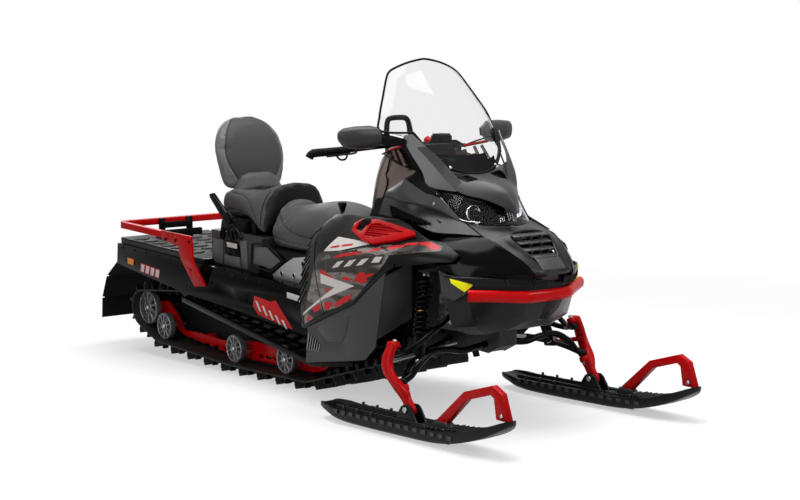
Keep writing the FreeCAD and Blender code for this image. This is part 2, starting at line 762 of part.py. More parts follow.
def belly_pan():
    """Moulded tub under the nose, stepped where the bumper lies."""
    rings = []
    for ahead, half, low, top in ((RUN, 330, 362, 596), (80, 290, 368, 596), (170, 196, 384, 592),
                                  (246, 104, 440, 584)):
        lower = half * 0.74
        side = (top + low) / 2 + 20
        ring = [(-half, top), (-half, side), (-lower, low), (lower, low), (half, side), (half, top)]
        rings.append((FRAME_FRONT_X + ahead, ring))
    outer = loft([[(x, y, z) for y, z in ring] for x, ring in rings])
    inner = loft([[(x - 6, y, z + 60 if z > 570 else z) for y, z in inset(ring, PANEL)] for x, ring in rings])
    return outer.cut(inner).cut(bumper_bar(RUN))


def bumper_bar(grow):
    """Flat oval bar round the nose, each face moved outwards by grow."""
    half = [(FRAME_FRONT_X + ahead, y, z) for ahead, y, z in (
        (232, 78, 523), (226, 108, 523), (208, 138, 525), (180, 178, 527), (150, 222, 531), (102, 292, 541))]
    line = [vec(*p) for p in [(x, -y, z) for x, y, z in reversed(half)] + half]
    deep, tall = BUMPER_DEPTH / 2 + grow, BUMPER_HEIGHT / 2 + grow
    oval = [(-1, -0.45), (-0.6, -1), (0.6, -1), (1, -0.45), (1, 0.45), (0.6, 1), (-0.6, 1), (-1, 0.45)]
    rings = []
    for i, spot in enumerate(line):
        ahead = line[min(i + 1, len(line) - 1)] - line[max(i - 1, 0)]
        out = ahead.cross(vec(0, 0, 1)).normalize()
        rings.append([tuple(spot + out * (deep * u) + vec(0, 0, tall * v)) for u, v in oval])
    return loft(rings)


def front_bumper():
    """Flat oval tube bent round the nose."""
    return bumper_bar(0)


HOOD_ROWS = (
    ((1172, 0, 777), (1155, 60, 779), (1100, 140, 786), (1079, 165, 786)),
    ((1224, 0, 766), (1216, 78, 762), (1196, 130, 753), (1180, 172, 747)),
    ((1264, 0, 744), (1258, 104, 736), (1250, 128, 730), (1240, 158, 724)),
    ((1340, 0, 672), (1334, 70, 670), (1336, 92, 668), (1340, 120, 662)),
    ((1390, 0, 624), (1389, 60, 623), (1388, 76, 622), (1380, 100, 618)),
    ((1366, 0, 593), (1364, 50, 593), (1362, 70, 595), (1358, 90, 599)),
)


def hood():
    """Centre of the nose: a wedge under the lamps with a slatted grille let into its slope."""
    skin = sheet_of([across(list(row)) for row in HOOD_ROWS], (6, 0, 8))
    mouth = prism_z([(1228, -70), (1228, 70), (1252, 100), (1330, 66), (1330, -66), (1252, -100)], 600, 800)
    skin = skin.cut(mouth)
    slats = []
    for i in range(4):
        x = 1226 + 30 * i
        z = 756 - 26 * i
        half = 96 - 11 * max(i - 1, 0)
        slats.append(prism_y([(x, z), (x + 16, z - 14), (x + 14, z - 20), (x - 2, z - 6)], -half, half))
    ribs = [prism_y([(1218, 752), (1222, 758), (1336, 660), (1334, 652)], y - 3, y + 3) for y in (-34, 34)]
    return fused([skin] + slats + ribs)


def nose_fender():
    """Gloss side of the nose, bulging out from the hood's edge and falling to the belly pan."""
    inner = [HOOD_ROWS[i][-1] for i in (1, 2, 3, 4)]
    gap = 5.0
    rows = [
        [(1043, 234, 751), (1031, 270, 732), (1048, 306, 696), (1064, 318, 612)],
        [(inner[0][0], inner[0][1] + gap, inner[0][2]), (1141, 241, 719), (1164, 272, 665), (1180, 288, 602)],
        [(inner[1][0], inner[1][1] + gap, inner[1][2]), (1235, 205, 682), (1247, 225, 638), (1251, 228, 600)],
        [(inner[2][0], inner[2][1] + gap, inner[2][2]), (1333, 149, 643), (1332, 155, 618), (1330, 155, 597)],
        [(inner[3][0], inner[3][1] + gap, inner[3][2]), (1382, 105, 614), (1381, 106, 604), (1372, 105, 596)],
    ]
    return sheet_of(rows, (4, 4, 5))


def headlamp():
    """Twin lamp unit under the visor: a wedge of lens from the outer tip to the nose."""
    rows = (
        ((937, 211, 913), (937, 211, 905)),
        ((986, 166, 902), (982, 177, 845)),
        ((1044, 121, 885.4), (1046, 170, 796)),
        ((1084, 84, 865), (1114, 124, 785)),
        ((1114, 44, 840), (1150, 58, 779.6)),
        ((1136, 3, 814), (1164, 3, 777.8)),
    )
    rings = []
    for (ax, ay, az), (bx, by, bz) in rows:
        rings.append([(ax, ay, az), (bx, by, bz), (bx - 50, by * 0.8, bz + 4), (ax - 40, ay * 0.8, az - 6)])
    return loft(rings)


VISOR_ROWS = (
    ((948, 0, 972), (936, 70, 978), (918, 140, 996), (908, 208, 1022)),
    ((1056, 0, 950), (1040, 62, 948), (1012, 120, 936), (1003, 158, 917)),
    ((1128, 0, 912), (1118, 38, 908), (1094, 76, 894), (1086, 91, 884)),
    ((1162, 0, 868), (1154, 16, 868), (1142, 36, 862), (1134, 48, 858)),
    ((1172, 0, 836), (1168, 8, 836), (1160, 14, 834), (1152, 20, 832)),
)
BLADE_ROWS = (
    ((818, 232, 1138), (792, 252, 1134), (786, 256, 1120)),
    ((922, 178, 1040), (900, 214, 1034), (886, 239, 990)),
    ((962, 146, 986), (962, 190, 966), (920, 233, 934)),
    ((1002, 118, 938), (1003, 158, 916), (999, 164, 914)),
)


def cowl():
    """Pointed visor over the lamps, with side blades that sweep up to the mirror stalks."""
    visor = sheet_of([across(list(row)) for row in VISOR_ROWS], (14, 0, 12))
    blade = sheet_of([list(row) for row in BLADE_ROWS], (10, 12, 2))
    scoop = prism_z([(938, 70), (1010, 66), (1000, 112), (940, 128)], 900, 1000)
    return visor.multiFuse([blade, mirrored(blade)]).cut(scoop).cut(mirrored(scoop))


def cowl_side():
    """Shoulder from the cockpit to the hood's edge, with a meshed vent and a notched trim above it."""
    shoulder = sheet_of([
        [(640, 236, 880), (636, 250, 850), (640, 268, 812)],
        [(806, 276, 868), (800, 276, 842), (806, 284, 806)],
        [(954, 203, 836), (964, 221, 804), (985, 266, 764)],
        [(1066, 175, 793), (1082, 177.5, 788), (1168, 184, 755)],
    ], (0, 12, 6))
    vent = prism_y([(690, 846), (762, 842), (980, 786), (930, 780), (724, 806)], 200, 400)
    bars = []
    for i in range(7):
        x = 690 + 40 * i
        z = 812 - 6 * i
        bars.append(prism_y([(x, z - 30), (x + 6, z - 30), (x + 46, z + 40), (x + 40, z + 40)], 200, 400))
    mesh = shoulder.common(vent).common(fused(bars))
    return shoulder.cut(vent).fuse(mesh)


SCREEN_ROWS = (
    ((943, 0, 973), (934, 64, 979), (912, 126, 1003), (868, 186, 1068), (800, 216, 1142)),
    ((866, 0, 1100), (860, 76, 1104), (838, 152, 1112), (791, 233, 1130), (699, 298, 1150)),
    ((792, 0, 1200), (787, 78, 1200), (769, 154, 1200), (732, 226, 1203), (676, 285, 1208)),
    ((720, 0, 1295), (715, 70, 1295), (701, 138, 1293), (677, 198, 1290), (645, 242, 1286)),
    ((652, 0, 1375), (650, 56, 1374), (643, 110, 1371), (632, 158, 1367), (614, 198, 1360)),
    ((612, 0, SHIELD_TOP_Z), (611, 46, 1428), (610, 88, 1419), (607, 132, 1405), (604, 172, 1387)),
)


def windshield():
    """Clear screen, swept back and curved, narrow at its base and at its top."""
    return sheet_of([across(list(row)) for row in SCREEN_ROWS], (SHIELD, 0, SHIELD / 2))


def console():
    """Dashboard behind the screen with its gauge pod, on two feet that straddle the frame's front tubes."""
    top = prism_y([(572, 1012), (640, 1034), (740, 1030), (870, 960), (870, 930), (600, 940), (572, 990)],
                  -167, 167)
    pod = prism_y([(600, 1020), (640, 1084), (690, 1084), (720, 1040)], -80, 80)
    foot = box(606, 640, 58, 96, 880, 942)
    board = fused([top, pod, foot, mirrored(foot)])
    tube = nose_tube(FRAME_TUBE_R + RUN)
    return board.cut(tube).cut(mirrored(tube))


def steering_cover():
    """Tinted shell behind the visor: wraps the steering column and opens towards the nose."""
    outer = []
    inner = []
    for row in (
        ((455, 0, 1006), (461, 112, 1003), (604, 188, 1062), (762, 230, 1108)),
        ((434, 0, 930), (441, 124, 928), (600, 200, 968), (856, 216, 1000)),
        ((402, 0, 802), (408, 128, 800), (566, 190, 856), (690, 226, 924)),
    ):
        outer.append(across(list(row)))
        inner.append(across([(x + 6, max(y - 5, 0), z) for x, y, z in row]))
    return wall(outer, inner)


def pedestal_top(x):
    """Height of the rider's pedestal, a little hollow along its length."""
    return 590 + 0.00006 * (x - 40) ** 2


def cushion(stations):
    """A seat of rounded cross-sections; each station gives x, underside, crown height and half width."""
    rings = []
    for x, low, top, half in stations:
        side = low + (top - low) * 0.45
        right = [(x, half * 0.7, low), (x, half, side), (x, half * 0.82, top - 24), (x, half * 0.4, top - 4)]
        rings.append(right + [(px, -y, z) for px, y, z in reversed(right)])
    return loft(rings)


def driver_seat():
    """Narrow rider's saddle: a small bolster behind, a hollow, and the crown between the knees."""
    stations = [(x, pedestal_top(x) + RUN, top, half) for x, top, half in (
        (SADDLE_REAR_X - 8, 822, 142), (-250, 782, 158), (-180, 778, 170), (-60, 796, 178), (40, 804, 174),
        (130, 788, 156))]
    return cushion(stations + [(215, 646, 748, 104)])


def passenger_seat():
    """Raised passenger's seat: lumbar bolster behind, front rim arched over the rider's bolster."""
    seat = cushion([(x, base_top(x) + RUN, top, half) for x, top, half in (
        (-690, 800, 148), (-600, 802, 170), (-480, 806, 182), (-400, 838, 184), (-350, 872, 176),
        (SADDLE_REAR_X - 12, 868, 160))])
    lumbar = cushion([(-642, 780, 905, 118), (-622, 780, 922, 124), (-598, 780, 885, 118), (-582, 780, 830, 110)])
    return seat.fuse(lumbar)


def base_top(x):
    return 655 + (x + 720) * BASE_SLOPE


def backrest():
    """Reclined pad, broad at the shoulders and rounded at its top, on a tongue behind the seat."""
    rings = []
    for z, x, half, thick in ((836, -654, 140, 60), (880, -650, 168, 88), (1000, -668, 190, 104), (1090, -696, 170, 96),
                              (1150, -722, 118, 72), (1174, -734, 76, 44)):
        rings.append([(x, -half * 0.8, z), (x, half * 0.8, z), (x - 30, half, z), (x - thick, half * 0.7, z),
                      (x - thick, -half * 0.7, z), (x - 30, -half, z)])
    tongue = box(-716, -696, -60, 60, base_top(-716) + RUN, 850)
    return fused([loft(rings), tongue])


def seat_base():
    """Moulded box that carries the passenger's seat, with a latch pocket on each side."""
    half = SEAT_BASE_HALF
    outline = [(-720, tunnel_top(-720) + RUN), (-340, tunnel_top(-340) + RUN), (-300, base_top(-300)),
               (-720, base_top(-720))]
    block = prism_y(outline, -half, half)
    for y0, y1 in ((half - 22, half + 1), (-half - 1, -half + 22)):
        block = block.cut(prism_y([(-590, 540), (-470, 535), (-480, 600), (-580, 605)], y0, y1))
    return block


def seat_frame():
    """Pedestal under the rider's seat: open below, with a framed side pocket and a drilled foot."""
    half = SEAT_BASE_HALF
    rear, front = tunnel_top(SADDLE_REAR_X) + RUN, tunnel_top(90) + RUN
    wall = 5.0
    top = [(x, pedestal_top(x)) for x in (130, 40, -60, -180, SADDLE_REAR_X)]
    shell = prism_y([(SADDLE_REAR_X, rear), (90, front)] + top, -half, half)
    inside = [(SADDLE_REAR_X + wall, 300), (90 - wall, 300), (118, 584), (-100, 584), (SADDLE_REAR_X + wall, 590)]
    shell = shell.cut(prism_y(inside, -half + wall, half - wall))
    for y0, y1 in ((half - 3, half + 1), (-half - 1, -half + 3)):
        shell = shell.cut(prism_y([(-262, 520), (-190, 510), (-60, 570), (-262, 590)], y0, y1))
    for x in (-100, -40):
        shell = shell.cut(disc_y(x, 496, 7, -half - 1, half + 1))
    return shell


def grab_handle():
    """Curved loop beside the passenger on an upright bracket."""
    y = SEAT_BASE_HALF + 11 + RUN
    return bent_tube([(-560, y, 560), (-575, y, 735), (-700, y, 800), (-742, y, 770), (-700, y, 660), (-650, y, 560)],
                     11, 40)


def mirror():
    """Wing mirror carried sideways by an arm from the top of the visor's side blade."""
    stations = ((463, 618, 642, 1114, 1140), (430, 606, 672, 1088, 1166), (330, 616, 700, 1080, 1172),
                (286, 640, 704, 1098, 1146), (255.2, 784, 808, 1096, 1118))
    rings = []
    for y, back, front, low, high in stations:
        step = (high - low) * 0.25
        rings.append([(back, y, low + step), (back + 8, y, low), (front - 12, y, low), (front, y, low + step),
                      (front, y, high - 2 * step), (back + 20, y, high), (back, y, high - step)])
    return loft(rings)


def bulkhead():
    """Engine cradle: floor, side plates with shock towers, and the keel box the lower arms pivot on."""
    half, front = FRAME_HALF, FRAME_FRONT_X
    keel = prism_y([(TUNNEL_FRONT_X + RUN, 280), (1050, 262), (front, 296), (front, FLOOR_Z + SHEET),
                    (TUNNEL_FRONT_X + RUN, FLOOR_Z + SHEET)], -KEEL_HALF, KEEL_HALF)
    hollow = prism_y([(TUNNEL_FRONT_X + 12, 262), (1030, 240), (front - 12, 306), (front - 12, 400),
                      (TUNNEL_FRONT_X + 12, 400)], -KEEL_HALF + 6, KEEL_HALF - 6)
    floor = box(TUNNEL_FRONT_X + RUN, front, -half, half, FLOOR_Z, FLOOR_Z + SHEET)
    pieces = [keel.cut(hollow), floor]
    rear = TUNNEL_FRONT_X + RUN
    plate = prism_y([(rear, FLOOR_Z), (front, FLOOR_Z), (front, 560), (1060, 690), (700, 690),
                     (700, tunnel_top(700) + RUN), (rear, tunnel_top(rear) + RUN)], half - 6, half)
    tower = box(898, 954, half - 6, 280, 597, 606)
    for piece in (plate, tower):
        pieces += [piece, mirrored(piece)]
    return fused(pieces)


def column_axis():
    lean = math.radians(COLUMN_LEAN)
    return vec(math.sin(lean), 0, -math.cos(lean))


def bearing():
    """Centre of the steering bearing, down the column from the handlebar."""
    return vec(*BAR_CENTRE) + column_axis() * 170


def nose_tube(radius):
    """Frame tube from the steering bearing forwards to the engine cradle."""
    spot = bearing()
    return rod((spot.x, 60, spot.z), (930, FRAME_HALF - 20, 606 + RUN + FRAME_TUBE_R), radius)


def frame_tubes():
    """Pyramid of tubes from tunnel and cradle to the steering bearing, with arms to the side panels."""
    spot = bearing()
    axis = column_axis()
    top = (spot.x, 60, spot.z)
    knee = (612, 160, 690)
    side = [
        rod((600, 200, tunnel_top(600) + RUN + 2.1), knee, FRAME_TUBE_R),
        rod(knee, top, FRAME_TUBE_R),
        nose_tube(FRAME_TUBE_R),
        rod((606, 180, 560), (606, 403, 604), 9),
    ]
    pieces = side + [mirrored(piece) for piece in side]
    pieces.append(rod((spot.x, -60, spot.z), top, FRAME_TUBE_R))
    pieces.append(Part.makeCylinder(COLUMN_R + 9, 56, spot - axis * 28, axis))
    return fused(pieces).cut(Part.makeCylinder(COLUMN_R + PIN_GAP, 200, spot - axis * 100, axis))


def ball_housing(centre, shift, radius):
    """Housing on the steering axis, shift mm up from the centre, with its pin through the spindle's boss."""
    axis = king_axis()
    at = vec(*centre) + axis * shift
    sign = -1 if shift > 0 else 1
    housing = Part.makeCylinder(BALL_R, 26, at - axis * 13, axis)
    pin = Part.makeCylinder(radius, 26, at + axis * (sign * 20 - 13), axis)
    return housing.fuse(pin)


def king_axis():
    return (vec(*KING_HIGH) - vec(*KING_LOW)).normalize()


def lower_arm():
    """Two tubes from the ball housing to the bulkhead, the front one cranked."""
    shift = BOSS_HALF + 0.5 + 13
    ball = vec(*KING_LOW) + king_axis() * shift
    start = (ball.x, ball.y, ball.z)
    pieces = [
        ball_housing(KING_LOW, shift, PIN_R),
        bent_tube([start, (1000, 240, 306), (1034, KEEL_HALF + 3, 300)], ARM_TUBE_R - 2, 80),
        rod(start, (820, KEEL_HALF + 12, 300), ARM_TUBE_R - 2),
        rod((1022, 352, 252), (976, 352, 236), 9),
    ]
    return fused(pieces)


def upper_arm():
    """Wishbone from the ball housing under the spindle's top boss to the belly frame."""
    shift = -(BOSS_HALF + 0.5 + 13)
    ball = vec(*KING_HIGH) + king_axis() * shift
    start = (ball.x, ball.y, ball.z)
    fork = (ball.x, ball.y - 36, ball.z - 2)
    front = (1036, FRAME_HALF + ARM_TUBE_R - 6, 448)
    rear = (800, FRAME_HALF + ARM_TUBE_R - 6, 448)
    pieces = [
        ball_housing(KING_HIGH, shift, PIN_R),
        rod(start, fork, ARM_TUBE_R - 4),
        bent_tube([fork, (1050, 380, 336), front], ARM_TUBE_R - 4, 40),
        bent_tube([fork, (912, 380, 336), rear], ARM_TUBE_R - 4, 40),
    ]
    return fused(pieces)


def control_arms():
    arms = []
    for arm in (lower_arm(), upper_arm()):
        arms += [arm, mirrored(arm)]
    return Part.makeCompound(arms)


def spindle():
    """Cast upright: top boss, C-shaped leg, lower boss, steering arm and foot for the ski."""
    high = vec(*KING_HIGH)
    low = vec(*KING_LOW)
    axis = king_axis()
    y = SKI_HALF_STANCE
    pieces = [
        Part.makeCylinder(BOSS_R, 2 * BOSS_HALF, high - axis * BOSS_HALF, axis),
        Part.makeCylinder(BOSS_R, 2 * BOSS_HALF, low - axis * BOSS_HALF, axis),
    ]
    side_view = [(972, 346), (1006, 346), (1014, 318), (1046, 230), (1074, 186), (1092, 160), (1138, 104), (1138, 88),
                 (1072, 88), (1048, 150), (1036, 186), (1012, 230), (980, 318)]
    front_view = [(y - 14, 346), (y + 6, 316), (y + 17, 230), (y + 12, 186), (y - 14, 160), (y - 14, 88), (y + 14, 88),
                  (y + 16, 160), (y + 26, 186), (y + 32, 230), (y + 26, 318), (y + 22, 346)]
    pieces.append(prism_y(side_view, y - 60, y + 60).common(prism_x(front_view, 960, 1150)))
    arm = vec(*STEER_ARM)
    pieces.append(rod((1016, y + 18, 258), STEER_ARM, 9))
    pieces.append(Part.makeCylinder(13, 18, arm - axis * 9, axis))
    body = pieces[0].multiFuse(pieces[1:])
    for centre, radius in ((high, PIN_R), (low, PIN_R), (arm, TIE_PIN_R)):
        body = body.cut(Part.makeCylinder(radius + PIN_GAP, 60, centre - axis * 30, axis))
    return body.cut(disc_y(SKI_BOLT_X, SKI_BOLT_Z, PIN_R + PIN_GAP, y - 40, y + 40))


def ski():
    """Moulded runner: keeled sole, raised edges, open saddle for the spindle and an upturned tip."""
    y = SKI_HALF_STANCE
    half = SKI_WIDTH / 2
    rings = []
    for x, wide, low, thick in (
        (SKI_TAIL_X, 0.55, 40, 26), (SKI_TAIL_X + 120, 0.95, 16, 40), (800, 1.0, 8, 50), (SKI_BOLT_X, 1.0, 8, 52),
        (SKI_TIP_X - 380, 1.0, 12, 50), (SKI_TIP_X - 200, 0.98, 36, 44), (SKI_TIP_X - 70, 0.8, 82, 36),
        (SKI_TIP_X, 0.35, 122, 20),
    ):
        w = half * wide
        rings.append([(x, y - w, low + thick), (x, y - w, low + 8), (x, y - w * 0.3, low), (x, y + w * 0.3, low),
                      (x, y + w, low + 8), (x, y + w, low + thick)])
    blade = loft(rings)
    trough = []
    for x, wide, low, thick in ((SKI_TAIL_X + 68, 0.62, 40, 60), (800, 0.78, 34, 60), (SKI_BOLT_X, 0.78, 34, 60),
                                (SKI_TIP_X - 380, 0.76, 38, 60), (SKI_TIP_X - 220, 0.7, 60, 60)):
        w = half * wide
        trough.append([(x, y - w, low + thick), (x, y - w, low), (x, y + w, low), (x, y + w, low + thick)])
    blade = blade.cut(loft(trough))
    ears = []
    for side in (-1, 1):
        low_y = y + side * 19 - (8 if side < 0 else 0)
        outline = [(SKI_BOLT_X + x, z) for x, z in ((-85, 30), (85, 30), (45, 92), (15, 122), (-15, 122), (-45, 92))]
        ears.append(prism_y(outline, low_y, low_y + 8))
    pin = disc_y(SKI_BOLT_X, SKI_BOLT_Z, PIN_R, y - 32, y + 32)
    keel = box(SKI_BOLT_X - 345, SKI_BOLT_X + 235, y - 9, y + 9, 0, 34)
    return fused([blade, keel] + ears + [pin])


def ski_loop():
    """Carrying loop of flat tube on the upturned front of the ski."""
    y = SKI_HALF_STANCE
    bent = [(-410, 88), (-248, 218), (-90, 262), (-38, 236), (-4, 138), (-70, 140), (-82, 216), (-100, 226),
            (-230, 190), (-350, 84)]
    return prism_y([(SKI_TIP_X + x, z) for x, z in bent], y - 13, y + 13).cut(ski())


def tie_rod():
    """Rod with an eye that sits on the steering arm's boss, pinned through it."""
    axis = king_axis()
    eye = vec(*STEER_ARM) + axis * (9 + 0.5 + 9)
    pieces = [
        Part.makeCylinder(12, 18, eye - axis * 9, axis),
        Part.makeCylinder(TIE_PIN_R, 30, eye - axis * 30, axis),
        rod((eye.x, eye.y, eye.z), TIE_INNER, 8),
    ]
    return fused(pieces)


def handlebar():
    """Bent bar on its column, with the riser block that joins them."""
    x, _, z = BAR_CENTRE
    bar = bent_tube([(x - 92, -BAR_HALF, z - 22), (x - 50, -225, z - 12), (x, -90, z), (x, 90, z), (x - 50, 225, z - 12),
                     (x - 92, BAR_HALF, z - 22)], BAR_R, 60)
    lean = math.radians(COLUMN_LEAN)
    foot = (x + 300 * math.sin(lean), 0, z - 300 * math.cos(lean))
    column = rod(foot, (x, 0, z), COLUMN_R)
    riser = box(x - 26, x + 26, -60, 60, z - 26, z + 22)
    strap = bent_tube([(x - 4, -60, z + 8), (x - 14, -54, z + 112), (x - 14, 54, z + 112), (x - 4, 60, z + 8)], 8, 26)
    return fused([bar, column, riser, strap])


def grips():
    """A rubber sleeve over each end of the bar."""
    x, _, z = BAR_CENTRE
    pieces = []
    for side in (-1, 1):
        a = (x - 58, side * 258, z - 13.5)
        b = (x - 92, side * (BAR_HALF + 6), z - 22)
        grip = rod(a, b, GRIP_R)
        bar = rod((x - 50, side * 225, z - 12), (x - 92, side * BAR_HALF, z - 22), BAR_R + 0.05)
        pieces.append(grip.cut(bar))
    return Part.makeCompound(pieces)


def save(name, shape):
    shape.exportStep("parts/" + name + ".step")


def main():
    """One file per piece, named after the function that makes it."""
    centred = (
        track, drive_axle, track_wheels, wheel_axles, slide_rails, rail_sliders, suspension_arms, track_shocks,
        tunnel, running_boards, snow_flap, cargo_deck, rack_loop, rack_brackets, rear_stays, tow_hitch,
        engine, frame_tubes, belly_pan, front_bumper, hood, cowl, windshield, console, steering_cover,
        driver_seat, passenger_seat, backrest, seat_base, seat_frame,
        bulkhead, control_arms, front_shocks, handlebar, grips,
    )
    for make in centred:
        save(make.__name__, make())
    for make in (nose_fender, headlamp, cowl_side, knee_pad, footwell, intake_screen, grab_handle, mirror):
        save(make.__name__ + "s", both(make()))
    for make in (side_panel, spindle, ski, ski_loop, tie_rod):
        left = make()
        save(make.__name__ + "_left", left)
        save(make.__name__ + "_right", mirrored(left))


main()
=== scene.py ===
import math

import bmesh
import bpy
from mathutils import Matrix, Vector
from mathutils.bvhtree import BVHTree
from mathutils.geometry import delaunay_2d_cdt
from mathutils.kdtree import KDTree


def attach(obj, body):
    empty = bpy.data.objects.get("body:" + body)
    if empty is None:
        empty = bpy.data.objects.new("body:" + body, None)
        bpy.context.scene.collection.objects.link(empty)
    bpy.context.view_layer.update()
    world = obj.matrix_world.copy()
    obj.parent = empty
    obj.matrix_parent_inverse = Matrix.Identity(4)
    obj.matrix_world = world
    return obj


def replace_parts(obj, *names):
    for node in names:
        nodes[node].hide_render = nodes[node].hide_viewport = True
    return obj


# A two-seat utility snowmobile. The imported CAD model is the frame: +X to the nose, +Y to the
# rider's left, +Z up, in metres. Each section below is one piece of the machine.

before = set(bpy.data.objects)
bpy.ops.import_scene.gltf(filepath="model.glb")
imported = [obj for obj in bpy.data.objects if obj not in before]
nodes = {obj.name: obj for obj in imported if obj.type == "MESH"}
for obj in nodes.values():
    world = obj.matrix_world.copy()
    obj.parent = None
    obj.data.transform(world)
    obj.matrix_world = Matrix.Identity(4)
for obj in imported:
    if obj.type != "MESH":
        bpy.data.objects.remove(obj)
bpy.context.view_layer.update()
scene = bpy.context.scene
scene.view_settings.view_transform = "Standard"


# Camera: long lens, low and ahead of the machine's right side, rolled a touch to the left.

azimuth, elevation, roll = (math.radians(a) for a in (51.5265, 6.2024, -0.8776))
back = Vector((math.sin(azimuth) * math.cos(elevation), -math.cos(azimuth) * math.cos(elevation),
               math.sin(elevation)))
right = Vector((math.cos(azimuth), math.sin(azimuth), 0))
up = back.cross(right)
side = right * math.cos(roll) + up * math.sin(roll)
top = up * math.cos(roll) - right * math.sin(roll)
camera = bpy.data.objects.new("camera", bpy.data.cameras.new("camera"))
camera.data.sensor_width = 36
camera.data.lens = 81.32
camera.matrix_world = Matrix.LocRotScale(
    Vector((6.41702, -4.75286, 1.45742)), Matrix((side, top, back)).transposed().to_quaternion(), None)
scene.collection.objects.link(camera)
scene.camera = camera


# Node helpers, used by the stage and by every material.

def add(tree, kind, inputs=None, **settings):
    """A shader or geometry node; inputs are values or sockets to link, settings are its properties."""
    made = tree.nodes.new(kind)
    for key, value in settings.items():
        setattr(made, key, value)
    for key, value in (inputs or {}).items():
        if isinstance(value, bpy.types.NodeSocket):
            tree.links.new(value, made.inputs[key])
        else:
            made.inputs[key].default_value = value
    return made


def math_node(tree, operation, first, second=0.0):
    return add(tree, "ShaderNodeMath", {0: first, 1: second}, operation=operation).outputs[0]


# Stage: white sweep and soft boxes. Camera and transmitted rays see pure white, reflections a dimmer
# white; the lamps and a dim world light the machine at a plain level.

def background_rays(tree):
    """1 for the rays that look at the background, less for reflections, 0 for the light on the object."""
    path = add(tree, "ShaderNodeLightPath").outputs
    mirrored = math_node(tree, "MULTIPLY", path["Is Glossy Ray"], 0.38)
    seen = math_node(tree, "MAXIMUM", path["Is Camera Ray"], mirrored)
    return math_node(tree, "MAXIMUM", seen, path["Is Transmission Ray"])


world = bpy.data.worlds.new("studio")
world.use_nodes = True
tree = world.node_tree
tree.nodes.clear()
dim = add(tree, "ShaderNodeBackground", {"Color": (1, 1, 1, 1), "Strength": 0.16})
white = add(tree, "ShaderNodeBackground", {"Color": (1, 1, 1, 1), "Strength": 1.0})
blend = add(tree, "ShaderNodeMixShader", {0: background_rays(tree), 1: dim.outputs[0], 2: white.outputs[0]})
add(tree, "ShaderNodeOutputWorld", {"Surface": blend.outputs[0]})
scene.world = world

floor_mesh = bpy.data.meshes.new("floor")
floor_mesh.from_pydata([(-30, -30, 0), (30, -30, 0), (30, 30, 0), (-30, 30, 0)], [], [(0, 1, 2, 3)])
floor = bpy.data.objects.new("floor", floor_mesh)
scene.collection.objects.link(floor)
paper = bpy.data.materials.new("floor_paper")
paper.use_nodes = True
tree = paper.node_tree
tree.nodes.clear()
reach = add(tree, "ShaderNodeVectorMath", {0: add(tree, "ShaderNodeTexCoord").outputs["Object"]}, operation="LENGTH")
far = add(tree, "ShaderNodeMapRange", {"Value": reach.outputs["Value"], "From Min": 1.8, "From Max": 4.5})
tone = add(tree, "ShaderNodeMix", {"Factor": far.outputs[0], "A": (0.5, 0.5, 0.5, 1), "B": (0, 0, 0, 1)},
           data_type="RGBA")
light = add(tree, "ShaderNodeMix", {"Factor": far.outputs[0], "A": (0.5, 0.5, 0.5, 1), "B": (1, 1, 1, 1)},
            data_type="RGBA")
matt = add(tree, "ShaderNodeBsdfDiffuse", {"Color": tone.outputs[2]})
glow = add(tree, "ShaderNodeEmission", {"Color": light.outputs[2], "Strength": background_rays(tree)})
both = add(tree, "ShaderNodeAddShader", {0: matt.outputs[0], 1: glow.outputs[0]})
add(tree, "ShaderNodeOutputMaterial", {"Surface": both.outputs[0]})
floor_mesh.materials.append(paper)


def soft_box(name, spot, size, power, aim=(0, 0, 0.5)):
    """A rectangular area lamp that looks at the machine."""
    lamp = bpy.data.lights.new(name, "AREA")
    lamp.shape = "RECTANGLE"
    lamp.size, lamp.size_y = size
    lamp.energy = power
    obj = bpy.data.objects.new(name, lamp)
    obj.location = spot
    obj.rotation_euler = (Vector(aim) - Vector(spot)).to_track_quat("-Z", "Y").to_euler()
    scene.collection.objects.link(obj)


soft_box("overhead", (0.3, 0, 5.0), (5.0, 3.2), 260)
soft_box("key", (4.6, 1.8, 3.6), (2.6, 2.0), 90)
soft_box("fill", (1.5, -5.2, 2.4), (4.0, 2.4), 80)
soft_box("rear", (-4.6, 1.5, 2.8), (2.4, 2.0), 60)


# Seats: three stuffed pads of leather-grained vinyl over foam. Each cover is sewn from panels, pulled
# tight over its base and blown out a little by the foam, which the cloth simulation gives.
# Their vinyl, like every finish here, has a moulded grain in its normal and a slow drift of its colour.

def effect(name, inputs, outputs):
    """An empty node group with named float and colour sockets."""
    group = bpy.data.node_groups.new(name, "ShaderNodeTree")
    for label, kind, value in inputs:
        group.interface.new_socket(label, in_out="INPUT", socket_type=kind).default_value = value
    for label, kind in outputs:
        group.interface.new_socket(label, in_out="OUTPUT", socket_type=kind)
    return group, group.nodes.new("NodeGroupInput").outputs, group.nodes.new("NodeGroupOutput")


grain, given, out = effect(
    "moulded_grain", [("Scale", "NodeSocketFloat", 400.0), ("Depth", "NodeSocketFloat", 0.1)],
    [("Normal", "NodeSocketVector")])
spot = add(grain, "ShaderNodeTexCoord").outputs["Object"]
cells = add(grain, "ShaderNodeTexVoronoi", {"Vector": spot, "Scale": given["Scale"]}, feature="SMOOTH_F1")
dust = add(grain, "ShaderNodeTexNoise", {"Vector": spot, "Scale": given["Scale"], "Detail": 3.0})
height = math_node(grain, "ADD", cells.outputs["Distance"], dust.outputs["Fac"])
bump = add(grain, "ShaderNodeBump", {"Height": height, "Strength": given["Depth"], "Distance": 0.001})
grain.links.new(bump.outputs["Normal"], out.inputs["Normal"])

